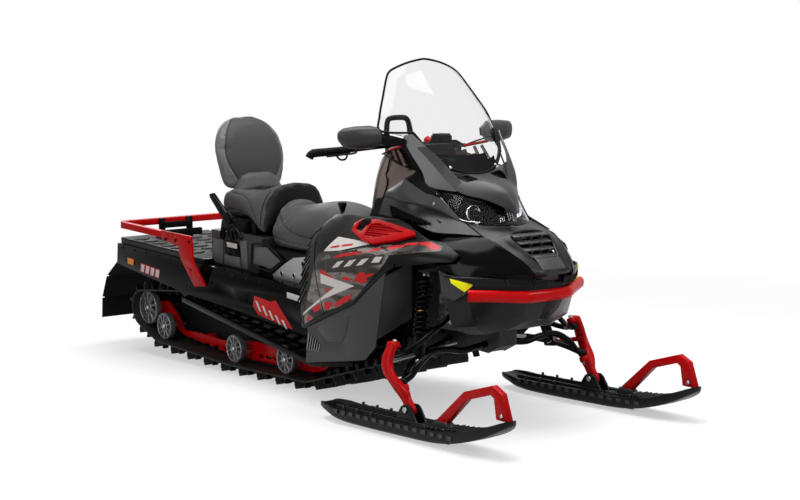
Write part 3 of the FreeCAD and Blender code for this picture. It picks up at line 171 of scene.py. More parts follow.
drift, given, out = effect(
    "colour_drift", [("Colour", "NodeSocketColor", (1, 1, 1, 1)), ("Scale", "NodeSocketFloat", 6.0),
                     ("Amount", "NodeSocketFloat", 0.15)],
    [("Colour", "NodeSocketColor"), ("Mask", "NodeSocketFloat")])
spot = add(drift, "ShaderNodeTexCoord").outputs["Object"]
slow = add(drift, "ShaderNodeTexNoise", {"Vector": spot, "Scale": given["Scale"], "Detail": 6.0,
                                         "Roughness": 0.6})
swing = math_node(drift, "SUBTRACT", slow.outputs["Fac"], 0.5)
gain = math_node(drift, "ADD", math_node(drift, "MULTIPLY", swing, given["Amount"]), 1.0)
lit = add(drift, "ShaderNodeVectorMath", {0: given["Colour"], "Scale": gain}, operation="SCALE")
drift.links.new(lit.outputs[0], out.inputs["Colour"])
drift.links.new(slow.outputs["Fac"], out.inputs["Mask"])


def group_node(tree, group, inputs):
    """A shared effect placed in a material with its own values."""
    made = tree.nodes.new("ShaderNodeGroup")
    made.node_tree = group
    for key, value in inputs.items():
        made.inputs[key].default_value = value
    return made


def finish(name, colour, roughness, metallic=0.0, gloss=0.5, coat=0.0, scale=400.0, depth=0.1,
           patch=6.0, drifting=0.2, spread=0.08):
    """A moulded, painted or metal finish: grain in the normal, drift in colour and roughness."""
    mat = bpy.data.materials.new(name)
    mat.use_nodes = True
    tree = mat.node_tree
    shader = tree.nodes["Principled BSDF"]
    tint = group_node(tree, drift, {"Colour": (*colour, 1), "Scale": patch, "Amount": drifting})
    surface = group_node(tree, grain, {"Scale": scale, "Depth": depth})
    rough = add(tree, "ShaderNodeMapRange", {"Value": tint.outputs["Mask"], "From Min": 0.3, "From Max": 0.7,
                                             "To Min": max(roughness - spread, 0.02), "To Max": roughness + spread})
    tree.links.new(tint.outputs["Colour"], shader.inputs["Base Color"])
    tree.links.new(rough.outputs[0], shader.inputs["Roughness"])
    tree.links.new(surface.outputs["Normal"], shader.inputs["Normal"])
    shader.inputs["Metallic"].default_value = metallic
    shader.inputs["Specular IOR Level"].default_value = gloss
    shader.inputs["Coat Weight"].default_value = coat
    shader.inputs["Coat Roughness"].default_value = 0.06
    return mat


def curved(points, steps):
    """Points on a smooth curve through the given ones; a doubled point stays a corner."""
    made = []
    last = len(points) - 1
    for i in range(last):
        a, b, c, d = points[max(i - 1, 0)], points[i], points[i + 1], points[min(i + 2, last)]
        if (b - c).length < 1e-6:
            continue
        for s in range(steps):
            t = s / steps
            made.append(0.5 * (2 * b + (c - a) * t + (2 * a - 5 * b + 4 * c - d) * t * t
                               + (3 * b - a - 3 * c + d) * t ** 3))
    made.append(points[-1])
    return made


def loft_mesh(name, rings):
    """A closed skin through rings of equally many points, with a fan at each end."""
    shape = bmesh.new()
    loops = [[shape.verts.new(p) for p in ring] for ring in rings]
    count = len(rings[0])
    for near, far in zip(loops, loops[1:]):
        for i in range(count):
            j = (i + 1) % count
            shape.faces.new((near[i], near[j], far[j], far[i]))
    for loop in (loops[0], loops[-1]):
        hub = shape.verts.new(sum((v.co for v in loop), Vector()) / count)
        for i in range(count):
            shape.faces.new((loop[i], loop[(i + 1) % count], hub))
    bmesh.ops.recalc_face_normals(shape, faces=shape.faces)
    mesh = bpy.data.meshes.new(name)
    shape.to_mesh(mesh)
    shape.free()
    return mesh


def place(name, mesh, *materials, body="chassis", slot=None):
    """A finished piece in the scene, riding on its body."""
    obj = bpy.data.objects.new(name, mesh)
    scene.collection.objects.link(obj)
    for material in materials:
        mesh.materials.append(material)
    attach(obj, body)
    return obj


def baked(obj):
    """The object's mesh with its modifiers applied."""
    mesh = bpy.data.meshes.new_from_object(obj.evaluated_get(bpy.context.evaluated_depsgraph_get()))
    obj.modifiers.clear()
    obj.data = mesh
    return mesh


def symmetric(half):
    """A whole ring from its half, given from the bottom to the top at one side."""
    return half + [Vector((p.x, -p.y, p.z)) for p in reversed(half) if abs(p.y) > 1e-5]


def stuffed(obj, voxel, cap, pressure=4.0, rest=-0.55):
    """Remeshes the form, lets the cloth swell under the foam, and holds each point within the cap."""
    obj.modifiers.new("remesh", "REMESH").voxel_size = voxel
    mesh = baked(obj)
    start = [v.co.copy() for v in mesh.vertices]
    held = [v.normal.z < rest for v in mesh.vertices]
    cloth = obj.modifiers.new("cloth", "CLOTH")
    cloth.settings.quality = 6
    cloth.settings.use_pressure = True
    cloth.settings.uniform_pressure_force = pressure
    cloth.settings.effector_weights.gravity = 0
    for frame_number in range(1, 21):
        scene.frame_set(frame_number)
    swollen = baked(obj)
    scene.frame_set(1)
    for v, home, fixed in zip(swollen.vertices, start, held):
        move = v.co - home
        if fixed:
            v.co = home
        elif move.length > cap:
            v.co = home + move * (cap / move.length)
    calm = obj.modifiers.new("calm", "SMOOTH")
    calm.iterations = 6
    obj.modifiers.new("divide", "SUBSURF").levels = 1
    return baked(obj)


def sew(obj, lines, depth=0.0035, reach=0.009):
    """Pulls the cover in along its seams and stores how near each point lies to one."""
    mesh = obj.data
    tree = BVHTree.FromPolygons([v.co for v in mesh.vertices], [p.vertices for p in mesh.polygons])
    spots = []
    for line in lines:
        run = curved([Vector(p) for p in line], 24)
        spots += [tree.find_nearest(p)[0] for p in run]
    near = KDTree(len(spots))
    for i, spot in enumerate(spots):
        near.insert(spot, i)
    near.balance()
    seam = mesh.attributes.new("seam", "FLOAT", "POINT")
    moves = []
    for v in mesh.vertices:
        gap = near.find(v.co)[2]
        pull = math.exp(-(gap / reach) ** 2 * 3)
        seam.data[v.index].value = math.exp(-(gap / 0.0022) ** 2)
        moves.append(v.normal * depth * pull)
    for v, move in zip(mesh.vertices, moves):
        v.co -= move
    for polygon in mesh.polygons:
        polygon.use_smooth = True


def vinyl(name, colour, roughness):
    """Leather-grained vinyl: fine grain, soft sheen, darker along its seams."""
    mat = finish(name, colour, roughness, gloss=0.22, scale=900, depth=0.4, patch=5, drifting=0.3)
    tree = mat.node_tree
    shader = tree.nodes["Principled BSDF"]
    tint = shader.inputs["Base Color"].links[0].from_socket
    seam = add(tree, "ShaderNodeAttribute", attribute_name="seam").outputs["Fac"]
    sewn = add(tree, "ShaderNodeMix", {"Factor": seam, "A": tint, "B": (0.004, 0.004, 0.004, 1)}, data_type="RGBA")
    tree.links.new(sewn.outputs[2], shader.inputs["Base Color"])
    shader.inputs["Sheen Weight"].default_value = 0.12
    shader.inputs["Sheen Roughness"].default_value = 0.4
    return mat


seat_vinyl = vinyl("seat_vinyl", (0.066, 0.066, 0.067), 0.46)
face_vinyl = vinyl("face_vinyl", (0.052, 0.052, 0.053), 0.5)
strip_vinyl = vinyl("strip_vinyl", (0.15, 0.15, 0.152), 0.42)
# Near-black vinyl: the backrest's moulded shell, and painted shade on the front rim and underside of the passenger's
# pad.
shell_and_shade_vinyl = vinyl("shell_and_shade_vinyl", (0.004, 0.004, 0.0042), 0.4)
shell_and_shade_vinyl.node_tree.nodes["Principled BSDF"].inputs["Sheen Weight"].default_value = 0.0

# Rider's saddle. Each row: x, underside, then half width and height of the bottom edge, the bulge, the
# side seam and the shoulder, and the height of the crown.
saddle = []
for x, low, bottom, (bulge, bulge_z), (seam_y, seam_z), (crown, crown_z), top_z in (
    (-0.292, 0.602, 0.120, (0.166, 0.690), (0.120, 0.768), (0.096, 0.790), 0.820),
    (-0.278, 0.599, 0.126, (0.168, 0.684), (0.133, 0.750), (0.104, 0.776), 0.802),
    (-0.250, 0.598, 0.132, (0.170, 0.675), (0.143, 0.731), (0.108, 0.758), 0.776),
    (-0.190, 0.596, 0.138, (0.174, 0.650), (0.156, 0.698), (0.116, 0.755), 0.777),
    (-0.100, 0.594, 0.140, (0.175, 0.632), (0.165, 0.668), (0.124, 0.758), 0.790),
    (0.000, 0.594, 0.140, (0.173, 0.628), (0.168, 0.658), (0.126, 0.770), 0.803),
    (0.080, 0.596, 0.134, (0.166, 0.630), (0.162, 0.660), (0.118, 0.772), 0.800),
    (0.150, 0.604, 0.118, (0.148, 0.640), (0.145, 0.668), (0.106, 0.764), 0.790),
    (0.218, 0.640, 0.092, (0.112, 0.670), (0.110, 0.692), (0.084, 0.748), 0.766),
):
    saddle.append([Vector(p) for p in (
        (x, 0, low), (x, bottom * 0.6, low), (x, bottom, low + 0.004), (x, bulge * 0.97, (low + bulge_z) / 2),
        (x, bulge, bulge_z), (x, seam_y, seam_z), (x, (seam_y + crown) / 2 + 0.006, (seam_z + crown_z) / 2 + 0.004),
        (x, crown, crown_z), (x, crown * 0.55, top_z - 0.006), (x, 0, top_z))])
columns = [curved(list(column), 3) for column in zip(*saddle)]
rings = [symmetric(curved(list(half), 2)) for half in zip(*columns)]
driver_seat = place("riders_saddle", loft_mesh("riders_saddle", rings), seat_vinyl, slot="seat_leather")
stuffed(driver_seat, voxel=0.006, cap=0.010)
seams = []
for side in (-1, 1):
    seams.append([(x, side * y, z) for x, y, z in (
        (-0.3, 0.122, 0.768), (-0.277, 0.136, 0.748), (-0.196, 0.158, 0.7), (-0.096, 0.17, 0.668), (0.0, 0.172, 0.657),
        (0.08, 0.168, 0.66), (0.15, 0.15, 0.668), (0.215, 0.115, 0.69))])
seams.append([(-0.262, y, 0.775 - 0.25 * y * y) for y in (-0.13, -0.07, 0, 0.07, 0.13)])
sew(driver_seat, seams)
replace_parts(driver_seat, "driver_seat")

# Passenger's seat: a pad that deepens to side flaps in front, where its thick rim arches over the
# saddle's bolster. Each row: x, then the half ring from its underside to its top.
pillion = []
for x, *half in (
    (-0.700, (0, 0.700), (0.070, 0.702), (0.128, 0.712), (0.150, 0.745), (0.150, 0.786), (0.120, 0.806), (0, 0.806)),
    (-0.655, (0, 0.720), (0.080, 0.722), (0.140, 0.735), (0.166, 0.770), (0.170, 0.812), (0.142, 0.836), (0, 0.834)),
    (-0.560, (0, 0.720), (0.080, 0.722), (0.145, 0.732), (0.172, 0.768), (0.176, 0.806), (0.146, 0.828), (0, 0.820)),
    (-0.480, (0, 0.716), (0.080, 0.718), (0.150, 0.724), (0.178, 0.752), (0.180, 0.794), (0.146, 0.822), (0, 0.816)),
    (-0.420, (0, 0.730), (0.078, 0.724), (0.150, 0.700), (0.184, 0.722), (0.182, 0.780), (0.140, 0.832), (0, 0.836)),
    (-0.370, (0, 0.780), (0.072, 0.770), (0.146, 0.680), (0.188, 0.690), (0.180, 0.765), (0.128, 0.846), (0, 0.862)),
    (-0.330, (0, 0.826), (0.074, 0.812), (0.142, 0.672), (0.186, 0.674), (0.172, 0.762), (0.116, 0.852), (0, 0.875)),
    (-0.312, (0, 0.838), (0.078, 0.822), (0.144, 0.676), (0.180, 0.676), (0.164, 0.758), (0.106, 0.852), (0, 0.872)),
):
    pillion.append([Vector((x, y, z)) for y, z in half])
columns = [curved(list(column), 3) for column in zip(*pillion)]
rings = [symmetric(curved(list(half), 3)) for half in zip(*columns)]
passenger_seat = place("passenger_pad", loft_mesh("passenger_pad", rings), seat_vinyl, shell_and_shade_vinyl,
                       slot="seat_leather")
stuffed(passenger_seat, voxel=0.006, cap=0.008, rest=-0.75)
seams = []
for side in (-1, 1):
    seams.append([(x, side * y, z) for x, y, z in (
        (-0.69, 0.12, 0.812), (-0.62, 0.15, 0.826), (-0.52, 0.155, 0.818), (-0.46, 0.172, 0.8), (-0.42, 0.182, 0.76),
        (-0.385, 0.188, 0.715), (-0.36, 0.188, 0.685))])
seams.append([(-0.345, y, z) for y, z in (
    (-0.186, 0.69), (-0.172, 0.77), (-0.12, 0.85), (-0.06, 0.872), (0, 0.876), (0.06, 0.872), (0.12, 0.85),
    (0.172, 0.77), (0.186, 0.69))])
sew(passenger_seat, seams)
# Painted shade: the pad's front rim and its faces that turn forward or down get the near-black vinyl, in place of the
# shade there.
rim_start, rim_slope_start = -0.324, -0.37
for polygon in passenger_seat.data.polygons:
    x, turn = polygon.center.x, polygon.normal
    if x > rim_start or turn.z < -0.5 or turn.x > 0.45 and x > rim_slope_start:
        polygon.material_index = 1
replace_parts(passenger_seat, "passenger_seat")

# Lumbar bolster: a small foam roll in the same vinyl, sewn across the rear of the passenger's pad.
# Each row runs round one cross-section, from the middle of the roll out to its rounded end.
lumbar = []
for y, rear, front, base, crown_z in ((0, -0.668, -0.575, 0.815, 0.917), (0.06, -0.667, -0.577, 0.815, 0.915),
                                      (0.092, -0.664, -0.582, 0.815, 0.902), (0.118, -0.66, -0.588, 0.815, 0.868),
                                      (0.136, -0.655, -0.594, 0.815, 0.838)):
    middle = (rear + front) / 2
    lumbar.append([Vector((x, y, z)) for x, z in (
        (rear + 0.006, base), (rear + 0.004, (base + crown_z) / 2), (rear + 0.012, crown_z - 0.014),
        (middle - 0.008, crown_z), (middle + 0.012, crown_z - 0.006), (front - 0.018, (base + crown_z) / 2 + 0.008),
        (front, base + 0.012), (front - 0.004, base), (middle, base))])
rings = [[Vector((p.x, -p.y, p.z)) for p in ring] for ring in reversed(lumbar[1:])] + lumbar
bolster = place("lumbar_bolster", loft_mesh("lumbar_bolster", rings), seat_vinyl, slot="seat_leather")
stuffed(bolster, voxel=0.005, cap=0.007, rest=-0.8)
sew(bolster, [[(-0.586, y, 0.842) for y in (-0.12, -0.06, 0, 0.06, 0.12)]], depth=0.002)
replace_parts(bolster, "passenger_seat")

# Backrest: an oval foam pad on a moulded shell, its darker face panel sewn between lighter side
# strips. Each row: height, front, half width and thickness.
pad = []
for z, x, half, thick in ((0.838, -0.652, 0.128, 0.05), (0.856, -0.646, 0.16, 0.07), (0.9, -0.646, 0.176, 0.082),
                          (0.96, -0.65, 0.186, 0.09), (1.02, -0.66, 0.189, 0.092), (1.08, -0.676, 0.176, 0.088),
                          (1.13, -0.7, 0.142, 0.076), (1.16, -0.72, 0.1, 0.058), (1.176, -0.734, 0.052, 0.036)):
    pad.append([Vector((x - deep * thick, wide * half, z)) for wide, deep in (
        (0, 1.0), (0.5, 1.0), (0.86, 0.86), (0.97, 0.62), (1.0, 0.34), (0.93, 0.1), (0.78, 0.0), (0.4, -0.03),
        (0, -0.04))])
columns = [curved(list(column), 3) for column in zip(*pad)]
rings = [symmetric(curved(list(half), 2)) for half in zip(*columns)]
backrest = place("backrest_pad", loft_mesh("backrest_pad", rings), face_vinyl, strip_vinyl, shell_and_shade_vinyl,
                 slot="seat_leather")
stuffed(backrest, voxel=0.006, cap=0.010, rest=-2.0)
edge = ((-0.726, 0.072, 1.168), (-0.7, 0.112, 1.13), (-0.675, 0.142, 1.08), (-0.657, 0.156, 1.02),
        (-0.648, 0.15, 0.965), (-0.644, 0.126, 0.92), (-0.644, 0.104, 0.885), (-0.646, 0.09, 0.855))
shell_line = ((-0.762, 0.06, 1.165), (-0.748, 0.142, 1.12), (-0.73, 0.18, 1.06), (-0.712, 0.19, 1.0),
              (-0.7, 0.184, 0.94), (-0.69, 0.17, 0.88), (-0.68, 0.15, 0.85))
seams = []
for side in (-1, 1):
    seams.append([(x, side * y, z) for x, y, z in edge])
    seams.append([(x, side * y, z) for x, y, z in shell_line])
sew(backrest, seams)
face_edge = [(p.z, p.y) for p in curved([Vector(p) for p in edge], 24)]


def width_at(line, height):
    """Half width of a seam at a height, from its points in falling order of height."""
    for (high, y0), (low, y1) in zip(line, line[1:]):
        if low <= height <= high:
            return y0 + (y1 - y0) * (high - height) / max(high - low, 1e-6)
    return line[0][1] if height > line[0][0] else line[-1][1]


for polygon in backrest.data.polygons:
    spot = polygon.center
    if polygon.normal.x < -0.35:
        polygon.material_index = 2
    elif abs(spot.y) > width_at(face_edge, spot.z):
        polygon.material_index = 1
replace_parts(backrest, "backrest")

# Side panels: one injection-moulded skin a side, black, that rolls over the shoulder, leans out at
# the rider's shin and runs forward as a pointed wing. Printed vinyl stickers follow its surface.

def grid_mesh(rows, steps, across_steps):
    """A smooth sheet through a table of points; a doubled point or row stays a crease."""
    columns = [curved([Vector(p) for p in column], steps) for column in zip(*rows)]
    lines = [curved(list(line), across_steps) for line in zip(*columns)]
    width = len(lines[0])
    verts = [p for line in lines for p in line]
    faces = []
    for i in range(len(lines) - 1):
        for j in range(width - 1):
            k = i * width + j
            faces.append((k, k + 1, k + width + 1, k + width))
    return verts, faces


def filled(outline, pitch):
    """An outline in x and z, cut into triangles with points about a pitch apart."""
    edge = []
    for a, b in zip(outline, outline[1:] + outline[:1]):
        parts = max(int((b - a).length / pitch), 1)
        edge += [a + (b - a) * (i / parts) for i in range(parts)]
    lows = [min(p[i] for p in edge) for i in (0, 1)]
    highs = [max(p[i] for p in edge) for i in (0, 1)]
    inner = []
    for i in range(int((highs[0] - lows[0]) / pitch) + 1):
        for j in range(int((highs[1] - lows[1]) / (pitch * 0.87)) + 1):
            spot = Vector((lows[0] + pitch * (i + 0.5 * (j % 2)), lows[1] + pitch * 0.87 * j))
            if min((spot - p).length for p in edge) > pitch * 0.6:
                inner.append(spot)
    loop = [(i, (i + 1) % len(edge)) for i in range(len(edge))]
    made = delaunay_2d_cdt(edge + inner, loop, [], 1, 1e-5)
    return made[0], made[2]


def draped(outlines, skin, lift, pitch=0.012, sides=(-1, 1)):
    """Outlines laid on a skin from each side, with their faces outwards."""
    verts, faces = [], []
    for outline in outlines:
        flat, cells = filled([Vector(p) for p in outline], pitch)
        for side in sides:
            base = len(verts)
            for x, z in flat:
                hit = skin.ray_cast(Vector((x, 2, z)), Vector((0, -1, 0)))[0]
                y = (hit or skin.find_nearest(Vector((x, 0.5, z)))[0]).y + lift
                verts.append(Vector((x, side * y, z)))
            for cell in cells:
                a, b, c = (verts[base + i] for i in cell[:3])
                flipped = (b - a).cross(c - a).y * side < 0
                faces.append([base + i for i in (reversed(cell) if flipped else cell)])
    return verts, faces


soften = bpy.data.node_groups.new("soft_shading", "GeometryNodeTree")
soften.interface.new_socket("Geometry", in_out="INPUT", socket_type="NodeSocketGeometry")
soften.interface.new_socket("Angle", in_out="INPUT", socket_type="NodeSocketFloat").default_value = 0.6
soften.interface.new_socket("Geometry", in_out="OUTPUT", socket_type="NodeSocketGeometry")
given = soften.nodes.new("NodeGroupInput").outputs
smooth = add(soften, "GeometryNodeSetShadeSmooth", {"Geometry": given["Geometry"], "Shade Smooth": True})
bend = add(soften, "GeometryNodeInputMeshEdgeAngle").outputs["Unsigned Angle"]
sharp = add(soften, "FunctionNodeCompare", {"A": bend, "B": given["Angle"]}, operation="GREATER_THAN")
creased = add(soften, "GeometryNodeSetShadeSmooth",
              {"Geometry": smooth.outputs[0], "Selection": sharp.outputs["Result"], "Shade Smooth": False},
              domain="EDGE")
soften.links.new(creased.outputs[0], soften.nodes.new("NodeGroupOutput").inputs["Geometry"])


def sheet(name, verts, faces, thick, *materials, edge=0.0, **where):
    """A moulded or printed sheet with its thickness inwards from the given surface."""
    mesh = bpy.data.meshes.new(name)
    mesh.from_pydata(verts, [], faces)
    for polygon in mesh.polygons:
        polygon.use_smooth = True
    obj = place(name, mesh, *materials, **where)
    if thick:
        wall = obj.modifiers.new("wall", "SOLIDIFY")
        wall.thickness = thick
        wall.offset = -1
    if edge:
        round_off = obj.modifiers.new("edge", "BEVEL")
        round_off.width = edge
        round_off.segments = 2
        round_off.angle_limit = math.radians(50)
    shade = obj.modifiers.new("shade", "NODES")
    shade.node_group = soften
    return obj


def skin_tree(verts, faces):
    """A search tree of a sheet, to set things on its surface."""
    return BVHTree.FromPolygons(verts, faces)


def strand(name, lines, radius, material, body="chassis", closed=False, steps=6, slot=None):
    """Round rod, cable or moulding along one or more smooth lines."""
    data = bpy.data.curves.new(name, "CURVE")
    data.dimensions = "3D"
    data.bevel_depth = radius
    data.bevel_resolution = 3
    data.use_fill_caps = True
    for line in lines:
        run = curved([Vector(p) for p in line], steps)
        spline = data.splines.new("POLY")
        spline.points.add(len(run) - 1)
        for point, spot in zip(spline.points, run):
            point.co = (*spot, 1)
        spline.use_cyclic_u = closed
        spline.use_smooth = True
    obj = bpy.data.objects.new(name, data)
    scene.collection.objects.link(obj)
    mesh = bpy.data.meshes.new_from_object(obj.evaluated_get(bpy.context.evaluated_depsgraph_get()))
    bpy.data.objects.remove(obj)
    return place(name, mesh, material, body=body, slot=slot)


flank_rows = []
for x, *down in (
    (0.200, (0.262, 0.770), (0.318, 0.690), (0.345, 0.560), (0.392, 0.300)),
    (0.330, (0.262, 0.798), (0.346, 0.714), (0.384, 0.600), (0.412, 0.330)),
    (0.500, (0.262, 0.798), (0.366, 0.694), (0.406, 0.610), (0.420, 0.380)),
    (0.760, (0.262, 0.798), (0.366, 0.694), (0.410, 0.650), (0.420, 0.500)),
    (0.900, (0.300, 0.760), (0.346, 0.714), (0.396, 0.680), (0.402, 0.628)),
    (1.010, (0.300, 0.738), (0.324, 0.720), (0.366, 0.690), (0.378, 0.645)),
    (1.100, (0.278, 0.712), (0.292, 0.706), (0.326, 0.684), (0.338, 0.655)),
    (1.160, (0.264, 0.694), (0.270, 0.690), (0.280, 0.684), (0.296, 0.655)),
):
    (y0, z0), (y1, z1) = down[-2:]
    run_on = (y1 + (y1 - y0) * 0.3, z1 - (z0 - z1) * 0.3)
    flank_rows.append([(x, y, z) for y, z in ((down[0][0] - 0.012, down[0][1] + 0.012), *down, run_on)])
flank = skin_tree(*grid_mesh(flank_rows, 5, 4))
panel_line = [(0.262, 0.336), (0.272, 0.322), (0.288, 0.318), (0.333, 0.326), (0.5, 0.392), (0.649, 0.452),
              (0.78, 0.541), (0.88, 0.611), (0.912, 0.629), (1.0, 0.641), (1.103, 0.656), (1.144, 0.658),
              (1.158, 0.684), (1.111, 0.706), (1.06, 0.728), (1.0, 0.736), (0.919, 0.763), (0.84, 0.785),
              (0.76, 0.798), (0.42, 0.798), (0.35, 0.792), (0.322, 0.765), (0.3, 0.7), (0.296, 0.62), (0.3, 0.52),
              (0.284, 0.43)]
panel_black = finish("panel_black", (0.004, 0.004, 0.0045), 0.3, gloss=0.16, scale=600, depth=0.1)
for side, label in ((-1, "right"), (1, "left")):
    verts, faces = draped([panel_line], flank, 0.0, 0.02, (side,))
    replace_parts(sheet("side_skin_" + label, verts, faces, 0.004, panel_black, edge=0.0012, slot="grey_plastic"),
                "side_panel_" + label)


def sticker(name, colour, roughness, outlines, lift, skin=flank, pitch=0.012):
    """Printed vinyl laid on both sides of the body; one use lays a band of painted shade instead."""
    verts, faces = draped(outlines, skin, lift, pitch)
    ink = finish(name, colour, roughness, gloss=0.25, coat=0.08, scale=900, depth=0.03, drifting=0.12)
    return sheet(name, verts, faces, 0.0, ink, slot="grey_plastic")


field_line = [(0.384, 0.644), (0.532, 0.66), (0.681, 0.684), (0.791, 0.703), (0.912, 0.721), (0.986, 0.729),
              (1.02, 0.73), (1.078, 0.714), (1.086, 0.697), (1.016, 0.69), (0.874, 0.672), (0.851, 0.637),
              (0.782, 0.575), (0.694, 0.503), (0.661, 0.477), (0.56, 0.438), (0.456, 0.406), (0.35, 0.36),
              (0.3, 0.338), (0.29, 0.36), (0.305, 0.45), (0.33, 0.5), (0.352, 0.6)]
camo_print = sticker("camo_print", (0.1, 0.088, 0.078), 0.34, [field_line], 0.0004)
tree = camo_print.data.materials[0].node_tree
spot = add(tree, "ShaderNodeTexCoord").outputs["Object"]
slant = add(tree, "ShaderNodeMapping", {"Vector": spot, "Rotation": (0, 0.5, 0), "Scale": (7, 1, 22)})
patches = add(tree, "ShaderNodeTexNoise", {"Vector": slant.outputs[0], "Scale": 1.0, "Detail": 2.0, "Roughness": 0.4})
flecks = add(tree, "ShaderNodeTexVoronoi", {"Vector": slant.outputs[0], "Scale": 2.6}, distance="MANHATTAN")
tone = add(tree, "ShaderNodeValToRGB", {"Fac": patches.outputs["Fac"]})
tone.color_ramp.interpolation = "CONSTANT"
for stop, shade_of in ((0.0, 0.016), (0.4, 0.04), (0.5, 0.13), (0.6, 0.2)):
    element = tone.color_ramp.elements.new(stop) if stop else tone.color_ramp.elements[0]
    element.color = (shade_of * 1.08, shade_of * 0.97, shade_of * 0.9, 1)
tone.color_ramp.elements[-1].position = 0.999
tone.color_ramp.elements[-1].color = (0.2, 0.18, 0.165, 1)
dust_on = add(tree, "ShaderNodeMix", {"Factor": math_node(tree, "LESS_THAN", flecks.outputs["Distance"], 0.25),
                                     "A": tone.outputs["Color"], "B": (0.055, 0.05, 0.046, 1)}, data_type="RGBA")
tree.links.new(dust_on.outputs[2], tree.nodes["Principled BSDF"].inputs["Base Color"])
swoosh = [(0.485, 0.629), (0.551, 0.652), (0.684, 0.674), (0.798, 0.697), (0.915, 0.718), (0.987, 0.727),
          (1.019, 0.728), (1.07, 0.713), (1.076, 0.701), (1.038, 0.7), (1.046, 0.706), (1.01, 0.715),
          (0.976, 0.716), (0.941, 0.711), (0.902, 0.701), (0.851, 0.69), (0.79, 0.684), (0.7, 0.666), (0.561, 0.64)]
splashes = [
    [(0.656, 0.551), (0.689, 0.586), (0.702, 0.592), (0.729, 0.594), (0.737, 0.583), (0.775, 0.594), (0.792, 0.593),
     (0.775, 0.582), (0.744, 0.571), (0.752, 0.56), (0.732, 0.554), (0.719, 0.545), (0.691, 0.551)],
    [(0.522, 0.441), (0.549, 0.46), (0.611, 0.487), (0.659, 0.499), (0.64, 0.481), (0.62, 0.465), (0.578, 0.451),
     (0.544, 0.437)],
    [(0.453, 0.446), (0.514, 0.452), (0.515, 0.44), (0.486, 0.421), (0.456, 0.413)],
    [(0.36, 0.408), (0.4, 0.43), (0.43, 0.43), (0.42, 0.412), (0.38, 0.395)],
    [(0.31, 0.36), (0.35, 0.382), (0.36, 0.372), (0.33, 0.352)],
    [(0.57, 0.556), (0.6, 0.565), (0.64, 0.56), (0.63, 0.548), (0.6, 0.55)],
]
arrow_edges = [[(0.41, 0.578), (0.413, 0.559), (0.613, 0.526), (0.523, 0.552)],
               [(0.449, 0.495), (0.525, 0.514), (0.474, 0.491)]]
sticker("red_print", (0.56, 0.008, 0.012), 0.3, [swoosh] + arrow_edges + splashes, 0.0008)
sticker("white_print", (0.68, 0.64, 0.61), 0.3, [
    [(0.42, 0.651), (0.471, 0.713), (0.585, 0.709), (0.707, 0.702), (0.53, 0.663)],
    [(0.415, 0.56), (0.668, 0.533), (0.44, 0.455), (0.275, 0.37), (0.28, 0.382), (0.438, 0.468),
     (0.527, 0.514), (0.421, 0.521)],
], 0.0012)
# Painted shade: a dark band laid on the flank below the swoosh, where the wing's underside lies in shade.
sticker("wing_underside_shade", (0.03, 0.026, 0.024), 0.32, [
    [(0.458, 0.619), (0.643, 0.642), (0.849, 0.675), (0.837, 0.634), (0.728, 0.614), (0.592, 0.582), (0.46, 0.568)],
], 0.0008)
pale_bar = [(0.5, 0.59), (0.545, 0.598), (0.585, 0.628), (0.54, 0.62)]
sticker("pale_bars", (0.66, 0.62, 0.6), 0.3, [
    [(x + shift, z + shift * 0.14) for x, z in pale_bar] for shift in (0.0, 0.085, 0.17)] + [
    [(0.77, 0.634), (0.82, 0.64), (0.838, 0.664), (0.79, 0.658)]], 0.0012)
sticker("red_bars", (0.6, 0.012, 0.016), 0.3, [
    [(0.459, 0.667), (0.467, 0.676), (0.52, 0.684), (0.516, 0.675)],
    [(0.527, 0.677), (0.531, 0.686), (0.596, 0.696), (0.593, 0.687)]], 0.0016)


def on_flank(points, lift, side):
    """Points in x and z set on the flank of one side."""
    spots = []
    for x, z in points:
        hit = flank.ray_cast(Vector((x, 2, z)), Vector((0, -1, 0)))[0] or flank.find_nearest(Vector((x, 0.5, z)))[0]
        spots.append((x, side * (hit.y + lift), z))
    return spots


gloss_black = finish("gloss_black", (0.001, 0.001, 0.0012), 0.12, gloss=0.12, scale=40, depth=0.04, spread=0.04)
strand("panel_lower_moulding", [on_flank(
    [(0.292, 0.326), (0.344, 0.338), (0.457, 0.386), (0.64, 0.456), (0.70, 0.494), (0.854, 0.602), (0.905, 0.634)],
    0.001, side) for side in (-1, 1)], 0.0075, panel_black, slot="grey_plastic")
strand("panel_seam", [on_flank(
    [(0.318, 0.74), (0.33, 0.68), (0.346, 0.62), (0.37, 0.555), (0.405, 0.49), (0.43, 0.44), (0.452, 0.392)],
    -0.0002, side) for side in (-1, 1)], 0.0022, gloss_black, slot="grey_plastic")


# Intake screens on the shoulders, cast frames with a mesh. Like every CAD node they keep their mesh:
# its loose triangles are welded, flat faces merged and sharp edges rounded a little.

def dress(name, material, edge=0.0015, angle=30):
    """Rounds the sharp edges of a CAD node and gives it its finish."""
    obj = nodes[name]
    obj.data.materials.clear()
    obj.data.materials.append(material)
    obj.modifiers.new("weld", "WELD").merge_threshold = 1e-5
    flat = obj.modifiers.new("merge_flat", "DECIMATE")
    flat.decimate_type = "DISSOLVE"
    flat.angle_limit = math.radians(1)
    if edge:
        bevel = obj.modifiers.new("edges", "BEVEL")
        bevel.width = edge
        bevel.segments = 2
        bevel.angle_limit = math.radians(angle)
        bevel.use_clamp_overlap = True
    shade = obj.modifiers.new("shade", "NODES")
    shade.node_group = soften
    return obj


cast_red = finish("cast_red", (0.5, 0.0015, 0.003), 0.3, gloss=0.1, coat=0.04, scale=600, depth=0.12)
dress("intake_screens", cast_red)


# Nose: a moulded centre piece with a slatted air inlet, gloss fenders beside it, a pointed visor with
# two-tone side blades over the lamps, and a black air box that fills the space behind the openings.

def whole(half_row):
    """A row across the machine from its half on the left."""
    return [(x, -y, z) for x, y, z in reversed(half_row) if y > 1e-6] + list(half_row)


